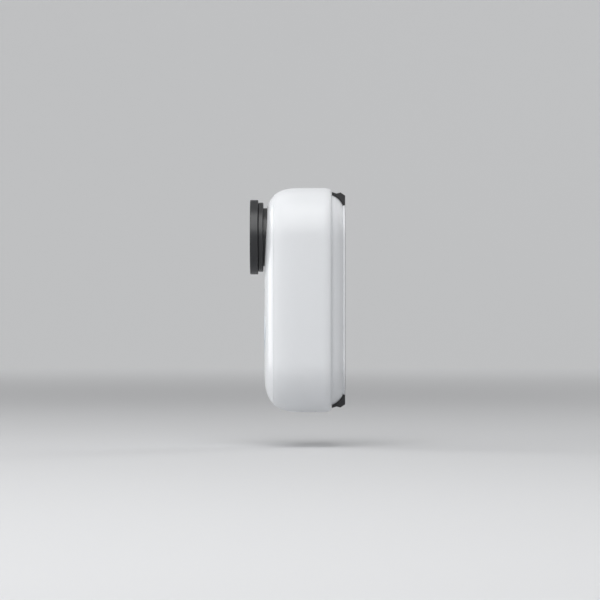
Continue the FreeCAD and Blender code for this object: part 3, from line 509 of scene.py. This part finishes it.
def carve(solid, cutters):
    """Cut shapes out of a solid, then remove them."""
    tools = bpy.data.collections.new("cutters")
    scene.collection.children.link(tools)
    for cutter in cutters:
        scene.collection.objects.unlink(cutter)
        tools.objects.link(cutter)
    cut = solid.modifiers.new("cut", "BOOLEAN")
    cut.operation, cut.solver = "DIFFERENCE", "MANIFOLD"
    cut.operand_type, cut.collection = "COLLECTION", tools
    bake(solid)
    for cutter in cutters:
        bpy.data.objects.remove(cutter)
    bpy.data.collections.remove(tools)
    return edit_mesh(solid, drop_slivers)


def joined(name, objects):
    """One object from several."""
    with bpy.context.temp_override(active_object=objects[0], selected_editable_objects=objects):
        bpy.ops.object.join()
    objects[0].name = name
    return objects[0]


def fit(piece, body, slot, replaced=(), material=None, sharp=35.0):
    """Finish a piece: its shading and material, the body it rides on and the CAD nodes it stands for.

    Its shading is smooth, keeps flat areas flat, and has a sharp edge where faces meet at more than sharp.
    """
    piece.data.shade_smooth()
    piece.data.set_sharp_from_angle(angle=math.radians(sharp))
    weighted = piece.modifiers.new("even_shading", "WEIGHTED_NORMAL")
    weighted.keep_sharp = True
    bake(piece)
    piece.data.materials.clear()
    piece.data.materials.append(materials[material or slot])
    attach(piece, body)
    if replaced:
        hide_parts(*replaced)


# ---- Shell ------------------------------------------------------------------------------------

def ramp_y(z):
    """Depth of the set-back face at a height: a smooth step between the two faces."""
    if z <= RAMP_Z[0]:
        return FACE_Y
    if z >= RAMP_Z[3]:
        return FACE_Y + SETBACK
    low, high = 0.0, 1.0
    for _ in range(30):
        along = (low + high) / 2
        rest = 1 - along
        shares = (rest ** 3, 3 * rest ** 2 * along, 3 * rest * along ** 2, along ** 3)
        height = sum(share * corner_z for share, corner_z in zip(shares, RAMP_Z))
        low, high = (along, high) if height < z else (low, along)
    return FACE_Y + SETBACK * (3 * (1 - along) * along ** 2 + along ** 3)


def set_back(y, ramp):
    """The deeper of two faces, with a soft line where they meet."""
    near = max(CREASE_BLEND - abs(y - ramp), 0) / CREASE_BLEND
    return max(y, ramp) + near ** 2 * CREASE_BLEND / 4


def soft_curve(centre_r, width, depth, start_y, end_y, steps):
    """Points of the soft front edge, a quarter superellipse, between two depths."""
    angles = []
    for y in (start_y, end_y):
        ahead = min((ROUND_END_Y - y) / depth, 1)
        angles.append(math.atan2((1 - ahead ** ROUND_POWER) ** (1 / ROUND_POWER), ahead))
    points = []
    for step in range(steps + 1):
        angle = angles[0] + (angles[1] - angles[0]) * step / steps
        cosine, sine = math.cos(angle), math.sin(angle)
        size = (cosine ** ROUND_POWER + sine ** ROUND_POWER) ** (1 / ROUND_POWER)
        points.append((centre_r + width * sine / size, ROUND_END_Y - depth * cosine / size))
    return points


def face_y(x, z):
    """Depth of the front cover's outside at a place on the face."""
    r = math.hypot(max(abs(x) - CORE_X, 0), max(abs(z) - CORE_Z, 0))
    beside = max(r - (CORNER - SEAM_STEP - ROUND_WIDTH), 0) / ROUND_WIDTH
    y = FACE_Y + ROUND_DEPTH * (1 - (1 - beside ** ROUND_POWER) ** (1 / ROUND_POWER))
    return set_back(y, ramp_y(z))


CUT_CLEAR = 2.0              # how far a cutter for a hole starts in front of the face


def bore(at, radius, edge, depth=4.0, sides=48):
    """Cutter for a round hole in the face, with a rounded mouth."""
    mouth = face_y(*at)
    start = mouth - CUT_CLEAR
    turns = [math.pi / 2 * step / 4 for step in range(5)]
    lip = [(radius + edge * (1 - math.sin(turn)), mouth + edge * (1 - math.cos(turn))) for turn in turns]
    profile = [(0, start), (radius + edge, start)] + lip + [(radius, mouth + depth), (0, mouth + depth)]
    return turned("bore", profile, at, sides)


FACE_HOLES = ((LENS, 14.35, 0.1, 6.0, 128), (BUTTON, 14.7, 0.08, 6.0, 128), (MOTION, 4.55, 0.12, 4.0, 64),
              (MICROPHONE, 0.5, 0.12), (LIGHT_PIPE, 0.95, 0.1))
GRILLE_PITCH, GRILLE_R, GRILLE_EDGE = 2.2, 0.55, 0.14


def make_front_shell():
    outer_centre = CORNER - SEAM_STEP - ROUND_WIDTH
    inner_width = ROUND_WIDTH - WALL_FRONT
    outer = soft_curve(outer_centre, ROUND_WIDTH, ROUND_DEPTH, FACE_Y, FRONT_SEAM_Y, 60)
    inner = soft_curve(CORNER - WALL_SIDE - inner_width, inner_width, ROUND_DEPTH - WALL_FRONT,
                       FACE_Y + WALL_FRONT, FRONT_SEAM_Y, 24)
    inside = inner[::-1] + [(0, FACE_Y + WALL_FRONT)]
    profile = softened([(0, FACE_Y)] + outer[:-2] + [(*outer[-1], 0.12)] + inside)
    outside_rings = len(profile) - len(inside)

    def depth_at(y, z, ring):
        return set_back(y, ramp_y(z)) if ring < outside_rings else max(y, ramp_y(z) + WALL_FRONT)

    shell = swept("front_shell", profile, depth_at)
    holes = [bore(*hole) for hole in FACE_HOLES]
    holes += [bore((column * GRILLE_PITCH, SPEAKER[1] + row * GRILLE_PITCH), GRILLE_R, GRILLE_EDGE, sides=24)
              for row in (-1, 0, 1) for column in range(-4, 5)]
    fit(carve(shell, holes), "unit", "face_gloss", ["front_cover"], sharp=50)


def under_block(x, y, radii, steps=16):
    """Cutter that follows the underside between two outline radii."""
    loops = []
    for step in range(steps + 1):
        across = x[0] + (x[1] - x[0]) * step / steps
        beyond = max(abs(across) - CORE_X, 0)
        inner, outer = (-CORE_Z - math.sqrt(radius ** 2 - beyond ** 2) for radius in radii)
        corners = ((y[0], inner), (y[0], outer), (y[1], outer), (y[1], inner))
        loops.append([(across, depth, height) for depth, height in corners])
    return prism("under_block", loops)


def stadium(width, thickness, y, z, steps=12):
    """Cutter along Z with half-round ends, for the port's mouth."""
    reach, radius = (width - thickness) / 2, thickness / 2
    outline = [(side * reach + radius * math.sin(turn) * side, y + radius * math.cos(turn) * side)
               for side in (1, -1) for turn in (math.pi * step / steps for step in range(steps + 1))]
    return prism("stadium", [[(across, depth, height) for across, depth in outline] for height in z])


def lying_rod(radius, x, y, z, sides=32):
    """Cutter along X."""
    turns = [2 * math.pi * side / sides for side in range(sides)]
    circle = [(y + radius * math.cos(turn), z + radius * math.sin(turn)) for turn in turns]
    return prism("lying_rod", [[(end, depth, height) for depth, height in circle] for end in x])


FLAP_X = node_span("usb_flap", 0)
FLAP_FRONT, FLAP_REAR = node_span("usb_flap", 1)
FLAP_GAP, HINGE_GAP = 0.2, 0.25
POCKET_FRONT = -21.3         # the flap's pocket reaches from here back
HINGE_X, HINGE_REAR = 3.75, -20.5           # a narrower one round the hinge ends here
POCKET_R = (CORNER - 1.5, CORNER + 6)
USB_Y = sum(node_span("usb_socket", 1)) / 2
PORT_WIDTH, PORT_THICKNESS, PORT_Z = 9.5, 3.8, (-60, -50)
NAIL_NOTCH_R, NAIL_NOTCH_X = 2.2, (-3, 3)
NAIL_NOTCH_Y, NAIL_NOTCH_Z = FLAP_REAR + 1.0, -HALF_HEIGHT - 1.2


def make_housing_shell():
    front = soft_curve(CORNER - ROUND_WIDTH, ROUND_WIDTH, ROUND_DEPTH, FRONT_SEAM_Y, ROUND_END_Y, 40)
    rear_start = REAR_SEAM_Y - REAR_ROUND_DEPTH
    side = [(CORNER, ROUND_END_Y + (rear_start - ROUND_END_Y) * step / 5) for step in range(1, 5)]
    rear = [(CORNER - REAR_ROUND_WIDTH * (1 - math.cos(turn)), rear_start + REAR_ROUND_DEPTH * math.sin(turn))
            for turn in (math.pi / 2 * step / 16 for step in range(17))]
    inner_width, inner_r = ROUND_WIDTH - WALL_FRONT, CORNER - WALL_SIDE
    inner = soft_curve(inner_r - inner_width, inner_width, ROUND_DEPTH - WALL_FRONT,
                       FRONT_SEAM_Y, ROUND_END_Y, 14)
    corners = [(*front[0], 0.15)] + front[2:] + side + rear[:-2]
    corners += [(*rear[-1], 0.2), (inner_r, REAR_SEAM_Y, 0.15)]
    shell = swept("housing_shell", softened(corners + inner[::-1]))
    pocket_x = (FLAP_X[0] - FLAP_GAP, FLAP_X[1] + FLAP_GAP)
    cutters = [under_block(pocket_x, (POCKET_FRONT, FLAP_REAR + FLAP_GAP), POCKET_R),
               under_block((-HINGE_X, HINGE_X), (FLAP_FRONT - HINGE_GAP, HINGE_REAR), POCKET_R, 8),
               stadium(PORT_WIDTH, PORT_THICKNESS, USB_Y, PORT_Z),
               lying_rod(NAIL_NOTCH_R, NAIL_NOTCH_X, NAIL_NOTCH_Y, NAIL_NOTCH_Z)]
    fit(carve(shell, cutters), "unit", "white_shell", ["housing"], sharp=40)


make_front_shell()
make_housing_shell()


# ---- Lens unit --------------------------------------------------------------------------------

GUARD_R = node_span("lens_guard_ring", 0)[1]
GUARD_FRONT, GUARD_REAR = node_span("lens_guard_ring", 1)
GLASS_R = node_span("guard_glass", 0)[1]
GLASS_FRONT, GLASS_REAR = node_span("guard_glass", 1)
GLASS_GAP = 0.08
BEZEL_R, WINDOW_R, BEZEL_DEPTH = 15.4, 14.2, 0.55
BORDER_R = 12.7              # the glass is printed black outside this
INDEX_MARK_R = 16.65         # the painted dot that shows how far the guard is turned


def make_guard():
    seat_r = GLASS_R + GLASS_GAP
    ring = turned("guard_ring", softened([
        (seat_r, GUARD_REAR, 0.1), (GUARD_R, GUARD_REAR, 0.3), (GUARD_R, GUARD_FRONT, 0.4),
        (BEZEL_R, GUARD_FRONT, 0.2), (WINDOW_R, GUARD_FRONT + BEZEL_DEPTH, 0.06),
        (WINDOW_R, GLASS_FRONT), (seat_r, GLASS_FRONT)]), LENS, 192)
    index_at = (LENS[0], LENS[1] + INDEX_MARK_R)
    dimple = [(0, -1), (0.55, -1), (0.55, 0.1), (0.4, 0.3), (0, 0.4)]
    paint = [(0, 0.12), (0.44, 0.14), (0.44, 0.3), (0, 0.42)]
    index, dot = (turned(name, [(r, GUARD_FRONT + depth) for r, depth in profile], index_at, 32)
                  for name, profile in (("index", dimple), ("index_dot", paint)))
    fit(carve(ring, [index]), "lens_guard", "turret_dark", ["lens_guard_ring"])
    fit(dot, "lens_guard", "turret_dark", material="mark_paint")


def make_guard_glass():
    flat_r = 4
    pane = softened([(flat_r, GLASS_FRONT), (GLASS_R, GLASS_FRONT, 0.12), (GLASS_R, GLASS_REAR, 0.12),
                     (flat_r, GLASS_REAR)])
    pane = turned("guard_pane", [(0, GLASS_FRONT)] + pane + [(0, GLASS_REAR)], LENS, 128)
    fit(pane, "lens_guard", "guard_glass", ["guard_glass"])
    print_r, front, rear = GLASS_R - 0.2, GLASS_REAR - 0.06, GLASS_REAR - 0.02
    border = turned("guard_border", softened([(BORDER_R, front), (print_r, front), (print_r, rear),
                                              (BORDER_R, rear)]), LENS, 128)
    fit(border, "lens_guard", "turret_dark", material="border_ink")


BARREL_R, THREAD_R, THREAD_Y = 7.0, 5.4, -39.0
BARREL_FRONT, BARREL_REAR = node_span("lens_barrel", 1)
BAFFLES, BAFFLE_STEP = 6, 0.2
LENS_R, LENS_SEAT_Y = 5.0, node_span("lens_front_element", 1)[1]
INNER_LENS_R, STOP_R, STOP_Y = 4.0, 3.4, -34.4


def make_barrel():
    """Lens barrel whose mouth widens in steps, which keep stray light off the lens."""
    steps = [(LENS_R, BARREL_FRONT + BAFFLES * BAFFLE_STEP)]
    for _ in range(BAFFLES):
        r, y = steps[-1]
        steps += [(r + BAFFLE_STEP, y), (r + BAFFLE_STEP, y - BAFFLE_STEP)]
    corners = steps + [
        (6.8, BARREL_FRONT, 0.1), (BARREL_R, BARREL_FRONT + 0.25, 0.08), (BARREL_R, THREAD_Y),
        (THREAD_R, THREAD_Y), (THREAD_R, BARREL_REAR), (STOP_R, BARREL_REAR), (STOP_R, STOP_Y),
        (INNER_LENS_R, STOP_Y), (INNER_LENS_R, LENS_SEAT_Y), (LENS_R, LENS_SEAT_Y)]
    fit(turned("lens_baffle", softened(corners), LENS, 128), "unit", "inner_plastic", ["lens_barrel"])


def dome(apex_y, ball_r, edge_r, steps):
    """Profile points of a spherical cap, from the axis outwards."""
    rims = [edge_r * step / steps for step in range(steps + 1)]
    return [(r, apex_y + ball_r - math.sqrt(ball_r ** 2 - r ** 2)) for r in rims]


def make_lenses():
    """Three elements on one axis, each between two faces that are parts of balls or flat."""
    front = dome(-43.9, 14.0, 4.85, 16) + [(LENS_R, -42.9), (LENS_R, -41.4)] + dome(-41.9, 22.0, 3.6, 6)[::-1]
    second = dome(-40.9, 11.0, 3.9, 12) + [(INNER_LENS_R, -39.6)] + dome(-39.9, 24.0, 3.4, 6)[::-1]
    third = dome(-38.7, 11.0, 3.9, 8) + [(INNER_LENS_R, -37.4), (2.0, -36.8), (0, -36.6)]
    fit(turned("front_lens", front, LENS, 128), "unit", "lens_glass", ["lens_front_element"])
    fit(turned("second_lens", second, LENS, 96), "unit", "lens_glass", ["lens_inner_elements"],
        "inner_lens_glass")
    fit(turned("third_lens", third, LENS, 96), "unit", "lens_glass")


LED_COUNT, LED_CIRCLE_R, LED_FIRST_TURN = 6, 10.1, math.radians(30)
LED_HEIGHT, LED_CUP_DEPTH = 0.55, 0.35
RESISTORS = ((8.7, 0.10), (11.4, -0.08))    # radius and turn from halfway between two LEDs
RESISTOR_SIZE, RESISTOR_HEIGHT = (0.9, 0.5), 0.36
TIN_SIZE, TIN_HEIGHT = (0.22, 0.54), 0.38


def on_led_circle(radius, turn):
    return (LENS[0] + radius * math.cos(turn), LENS[1] + radius * math.sin(turn))


def make_leds():
    base = node_span("ir_led_board", 1)[0]
    top, cup = base - LED_HEIGHT, base - LED_HEIGHT + LED_CUP_DEPTH
    turns = [LED_FIRST_TURN + 2 * math.pi * number / LED_COUNT for number in range(LED_COUNT)]
    places = [on_led_circle(LED_CIRCLE_R, turn) for turn in turns]
    package = softened([(0.8, cup), (0.95, top, 0.05), (1.4, top, 0.08), (1.45, base), (0.8, base)])
    bodies = [turned("led", package, at, 4, math.pi / 4) for at in places]
    fit(joined("led_packages", bodies), "unit", "chip_black", ["ir_leds"], "led_ceramic")
    bulb = dome(base - 0.8, 0.9, 0.72, 8) + [(0.72, base - 0.15), (0, base - 0.15)]
    bulbs = [turned("bulb", bulb, at, 32) for at in places]
    fit(joined("led_domes", bulbs), "unit", "chip_black", material="led_lens")
    chips, tins = [], []
    for turn in turns:
        for radius, offset in RESISTORS:
            x, z = on_led_circle(radius, turn + math.pi / LED_COUNT + offset)
            chips.append(tablet((x, z), RESISTOR_SIZE, (base - RESISTOR_HEIGHT, base)))
            tins += [tablet((x + side * RESISTOR_SIZE[0] / 2, z), TIN_SIZE, (base - TIN_HEIGHT, base))
                     for side in (-1, 1)]
    fit(joined("led_resistors", chips), "unit", "chip_black")
    fit(joined("solder_ends", tins), "unit", "nickel")


make_guard()
make_guard_glass()
make_barrel()
make_lenses()
make_leds()


# ---- Call button and front sensors ------------------------------------------------------------

BUTTON_R, SKIRT_WALL = 12.3, 1.0
BUTTON_FACE, BUTTON_REAR = node_span("button_cap", 1)
SKIRT_Y = BUTTON_REAR - 1.0
POST_R = 1.6                 # the post under the cap, which presses the switch
DISH_R, DISH_DEPTH = 10.5, 0.6
LIGHT_FRONT, LIGHT_REAR = node_span("light_ring", 1)
LIGHT_R, LIGHT_FLANGE_R = (12.6, 14.6), 15.8


def dish_y(r):
    """Depth of the button's hollow face."""
    ball_r = (DISH_R ** 2 + DISH_DEPTH ** 2) / (2 * DISH_DEPTH)
    return BUTTON_FACE + DISH_DEPTH - ball_r + math.sqrt(ball_r ** 2 - r ** 2)


def make_button():
    hollow = [(r, dish_y(r)) for r in (DISH_R * step / 20 for step in range(18))]
    skirt_r = BUTTON_R - SKIRT_WALL
    rim = softened([(DISH_R - 1, dish_y(DISH_R - 1)), (DISH_R, BUTTON_FACE, 6.0),
                    (BUTTON_R, BUTTON_FACE, 0.4), (BUTTON_R, SKIRT_Y, 0.15), (skirt_r, SKIRT_Y),
                    (skirt_r, BEHIND_FACE_Y), (POST_R, BEHIND_FACE_Y), (POST_R, BUTTON_REAR)], 8)
    cap = turned("button_dish", hollow + rim[1:] + [(0, BUTTON_REAR)], BUTTON, 160)
    fit(cap, "call_button", "white_shell", ["button_cap"])


def make_light_ring():
    inner_r, outer_r = LIGHT_R
    ring = turned("glow_ring", softened([
        (inner_r, LIGHT_FRONT, 0.18), (outer_r, LIGHT_FRONT, 0.18), (outer_r, BEHIND_FACE_Y),
        (LIGHT_FLANGE_R, BEHIND_FACE_Y), (LIGHT_FLANGE_R, LIGHT_REAR), (inner_r, LIGHT_REAR)]), BUTTON, 160)
    fit(ring, "unit", "light_diffuser", ["light_ring"])


def make_return_ring():
    """Silicone cone that the button squeezes against its board."""
    front, rear = node_span("button_return_ring", 1)
    outside = [(7.4, front, 0.2), (7.4, front + 0.5), (9.4, rear - 0.6, 0.3), (9.4, rear, 0.1)]
    inside = [(8.2, rear), (8.2, rear - 0.4), (6.4, front + 0.8)]
    ring = turned("return_ring", softened([(6.4, front, 0.1)] + outside + inside), BUTTON, 96)
    fit(ring, "unit", "seal_rubber", ["button_return_ring"])
    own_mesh(ring)


MARK_RELIEF, MARK_COLUMNS = 0.03, 10
BELL_OUTLINE = [(-2.5, 3.1), (-2.15, 3.1), (-1.6, 2.35), (-0.6, 2.05), (0.9, 1.9), (1.9, 1.5), (2.5, 0.85),
                (2.75, 0.0)]


def mark_on_button(name, half_widths):
    """Thin pad-printed shape on the button's hollow face, from (height, half width) rows."""
    shares = [2 * column / MARK_COLUMNS - 1 for column in range(MARK_COLUMNS + 1)]

    def layer(relief):
        return [[(BUTTON[0] + x, dish_y(math.hypot(x, z)) + relief, BUTTON[1] + z)
                 for x in (half * share for share in shares)] for z, half in half_widths]

    return slab(name, layer(-MARK_RELIEF), layer(MARK_RELIEF))


def smooth_rows(rows, steps=4):
    """Rows with more between them, on a smooth curve through them (Catmull-Rom)."""
    spread = []
    padded = rows[:1] + rows + rows[-1:]
    for before, start, end, after in zip(padded, padded[1:], padded[2:], padded[3:]):
        for step in range(steps):
            t = step / steps
            spread.append(tuple(0.5 * (2 * b + (c - a) * t + (2 * a - 5 * b + 4 * c - d) * t ** 2
                                       + (3 * b - a - 3 * c + d) * t ** 3)
                                for a, b, c, d in zip(before, start, end, after)))
    return [(z, max(half, 0.0)) for z, half in spread] + rows[-1:]


def half_disc(z, radius, start, stop, steps=8):
    """Rows of a round shape between two angles from straight down."""
    turns = [math.radians(start + (stop - start) * step / steps) for step in range(steps + 1)]
    return [(z - radius * math.cos(turn), radius * math.sin(turn)) for turn in turns]


def make_bell_mark():
    shapes = [mark_on_button("bell", smooth_rows(BELL_OUTLINE)),
              mark_on_button("clapper", half_disc(-2.85, 1.05, 0, 90)),
              mark_on_button("knob", half_disc(2.85, 0.5, 60, 180))]
    fit(joined("bell_mark", shapes), "call_button", "turret_dark", material="pad_print")


FRESNEL_RINGS, FRESNEL_RELIEF, FRESNEL_R = 6, 0.06, 4.05
MOTION_R, MOTION_FLANGE_R, MOTION_WALL = 4.5, 5.0, 0.8


def make_motion_lens():
    """Window with stepped lens rings in front and a hollow behind."""
    front, rear = node_span("pir_window", 1)
    width = FRESNEL_R / FRESNEL_RINGS
    ridges = [(0, front)]
    for number in range(FRESNEL_RINGS):
        start = width * number
        ridges += [(start + width * share, front + FRESNEL_RELIEF * share ** 2) for share in (0.3, 0.6, 0.96)]
        ridges.append((start + width, front))
    shell = [(MOTION_R - 0.15, front + 0.05), (MOTION_R, front + 0.2), (MOTION_R, BEHIND_FACE_Y),
             (MOTION_FLANGE_R, BEHIND_FACE_Y), (MOTION_FLANGE_R, rear), (MOTION_FLANGE_R - MOTION_WALL, rear)]
    hollow = [(3.0, -38.2), (0, -38.6)]
    lens = turned("motion_lens", ridges + softened(shell) + hollow, MOTION, 96)
    fit(lens, "unit", "motion_window", ["pir_window"])


SCREEN_Y = BEHIND_FACE_Y + 0.25
SCREEN_PITCH, SCREEN_COLUMNS, SCREEN_ROWS = 0.25, 84, 34
SCREEN_THICKNESS, SCREEN_WAVE = 0.12, 0.05


def make_speaker_screen():
    """Stiff woven dust screen just inside the grille."""
    across = [(column - SCREEN_COLUMNS / 2) * SCREEN_PITCH for column in range(SCREEN_COLUMNS + 1)]
    up = [SPEAKER[1] + (row - SCREEN_ROWS / 2) * SCREEN_PITCH for row in range(SCREEN_ROWS + 1)]

    def layer(depth, wave):
        return [[(x, SCREEN_Y + depth + wave * math.sin(math.pi / 2 * column) * (-1) ** row, z)
                 for column, x in enumerate(across)] for row, z in enumerate(up)]

    screen = slab("speaker_screen", layer(0.0, SCREEN_WAVE), layer(SCREEN_THICKNESS, 0.0))
    fit(screen, "unit", "inner_plastic")


make_button()
make_light_ring()
make_return_ring()
make_bell_mark()
make_motion_lens()
make_speaker_screen()


# ---- Back and underside -----------------------------------------------------------------------

GROOVE_R, GROOVE_FRONT = (11.6, 12.9), -0.5
PIN_R, PIN_FRONT = 1.6, -0.15
PIN_PLACES = ((7.5, 26.0), (6.0, 39.0))     # and their mirror images
ARROW_FRONT = -0.4
ARROW = ((0.0, 30.2), (2.6, 27.2), (1.0, 27.2), (1.0, 24.8), (-1.0, 24.8), (-1.0, 27.2), (-2.6, 27.2))
BEYOND_BACK = 1.0            # cutters in the plate's back reach this far behind the wall's face


def copy_of(name, node):
    """A piece that starts from a CAD node's own mesh, with its faces joined."""
    def join_faces(work):
        bmesh.ops.remove_doubles(work, verts=work.verts, dist=CAD_MERGE * MM)

    copied = bpy.data.objects.new(name, nodes[node].data.copy())
    scene.collection.objects.link(copied)
    return edit_mesh(copied, join_faces)


def make_bracket():
    plate = copy_of("bracket_plate", "wall_plate")
    inner_r, outer_r = GROOVE_R
    groove = swept("groove", [(inner_r, GROOVE_FRONT), (outer_r, GROOVE_FRONT), (outer_r, BEYOND_BACK),
                              (inner_r, BEYOND_BACK)])
    arrow = prism("arrow", [[(x, y, z) for x, z in ARROW] for y in (ARROW_FRONT, BEYOND_BACK)])
    pin = [(0, PIN_FRONT), (PIN_R, PIN_FRONT), (PIN_R, BEYOND_BACK), (0, BEYOND_BACK)]
    pins = [turned("pin", pin, (across * x, up * z), 32)
            for x, z in PIN_PLACES for across in (-1, 1) for up in (-1, 1)]
    carved = carve(plate, [groove, arrow, *pins])
    fit(edit_mesh(carved, join_coplanar), "bracket", "bracket_black", ["wall_plate"])


CONTACTS, CONTACT_PITCH, CONTACT_SIZE, CONTACT_Z = 8, 0.75, (0.28, 3.0), -51.0
TONGUE_HALF, CONTACT_TOP = 0.33, 0.37       # from the middle of the port's tongue


def make_usb_contacts():
    """Gold contacts on both sides of the port's tongue."""
    contacts = []
    for side in (-1, 1):
        y = sorted((USB_Y + side * TONGUE_HALF, USB_Y + side * CONTACT_TOP))
        contacts += [tablet(((number - (CONTACTS - 1) / 2) * CONTACT_PITCH, CONTACT_Z), CONTACT_SIZE, y, 0.01)
                     for number in range(CONTACTS)]
    fit(joined("usb_contacts", contacts), "unit", "brass_plate")


make_bracket()
make_usb_contacts()


# ---- Stage and lights -------------------------------------------------------------------------

FLOOR_Z = -72.0
FLOOR_R, SWEEP_R, STAGE_TOP = 2000.0, 900.0, 2000.0
GLOW_START_R, GLOW_END_R = 600.0, 2100.0
WALL_GLOW = 0.36             # brightness of the backdrop by itself, so that it stays pale far from the lights
STAGE_SIDES = 96


def stage_paper():
    """Matt paper with painted light: a glow that grows the farther it is from the middle of the stage, where
    the lamps reach less.
    """
    shader = Shader("stage_paper")
    shader.drive(shader.blend(shader.noise(0.002), (0.62, 0.625, 0.635), (0.64, 0.645, 0.655)), "Base Color")
    shader.drive(shader.remap(shader.noise(0.5), 0.85, 0.95), "Roughness")
    # painted light: emission that brightens the floor and backdrop towards the edge of the stage, in place of
    # light from the lamps
    level = shader.add("ShaderNodeVectorMath", operation="MULTIPLY")
    level.inputs[1].default_value = (1, 1, 0)
    shader.link(*shader.place, level, 0)
    away = shader.add("ShaderNodeVectorMath", operation="LENGTH")
    shader.link(level, "Vector", away, 0)
    glow = shader.remap((away, "Value"), 0.0, WALL_GLOW, GLOW_START_R, GLOW_END_R)
    glow[0].interpolation_type = "SMOOTHSTEP"
    shader.drive(glow, "Emission Strength")
    shader.surface(Specular_IOR_Level=0.2, Emission_Color=(0.98, 0.99, 1.0, 1))


def make_stage():
    """Pale studio floor that curves up into a wall all round."""
    rises = [math.pi / 2 * step / 20 for step in range(21)]
    sweep = [(FLOOR_R + SWEEP_R * math.sin(rise), FLOOR_Z + SWEEP_R * (1 - math.cos(rise))) for rise in rises]
    shapes = {"floor": [(r, FLOOR_Z) for r in (0.0, 300.0, 900.0, FLOOR_R)],
              "backdrop": sweep + [(FLOOR_R + SWEEP_R, STAGE_TOP)]}
    turns = [2 * math.pi * side / STAGE_SIDES for side in range(STAGE_SIDES)]
    stage_paper()
    for name, profile in shapes.items():
        loops = [[(r * math.cos(turn), r * math.sin(turn), z) for turn in turns] for r, z in profile]
        surface = link_mesh(name, *skin(loops))
        surface.data.materials.append(materials["stage_paper"])
        surface.visible_diffuse = name == "floor"


def softbox(name, place, size, watts, colour=(1, 1, 1)):
    """Area light at a millimetre place, facing the object's middle."""
    data = bpy.data.lights.new(name, "AREA")
    data.shape = "RECTANGLE"
    data.size, data.size_y = size[0] * MM, size[1] * MM
    data.energy, data.color = watts, colour
    light = bpy.data.objects.new(name, data)
    light.location = Vector(place) * MM
    aim = (AIM - Vector(place)).normalized()
    light.rotation_mode = "QUATERNION"
    light.rotation_quaternion = aim.to_track_quat("-Z", "Y")
    light.visible_camera = False
    scene.collection.objects.link(light)


def make_world(strength):
    """Even, dim light from all round."""
    world = bpy.data.worlds.new("studio")
    world.use_nodes = True
    background = world.node_tree.nodes["Background"]
    background.inputs["Color"].default_value = (0.95, 0.97, 1.0, 1)
    background.inputs["Strength"].default_value = strength
    scene.world = world


make_stage()
make_world(0.03)
softbox("key", (450, -1050, 480), (900, 900), 2.9)
softbox("front_left", (-420, -1200, 200), (600, 1100), 6.4)
softbox("side", (700, -130, 810), (800, 1200), 8.7)
softbox("overhead", (0, 0, 1900), (3600, 3600), 22.0)
softbox("back_fill", (-700, 1000, 500), (600, 900), 3.0)
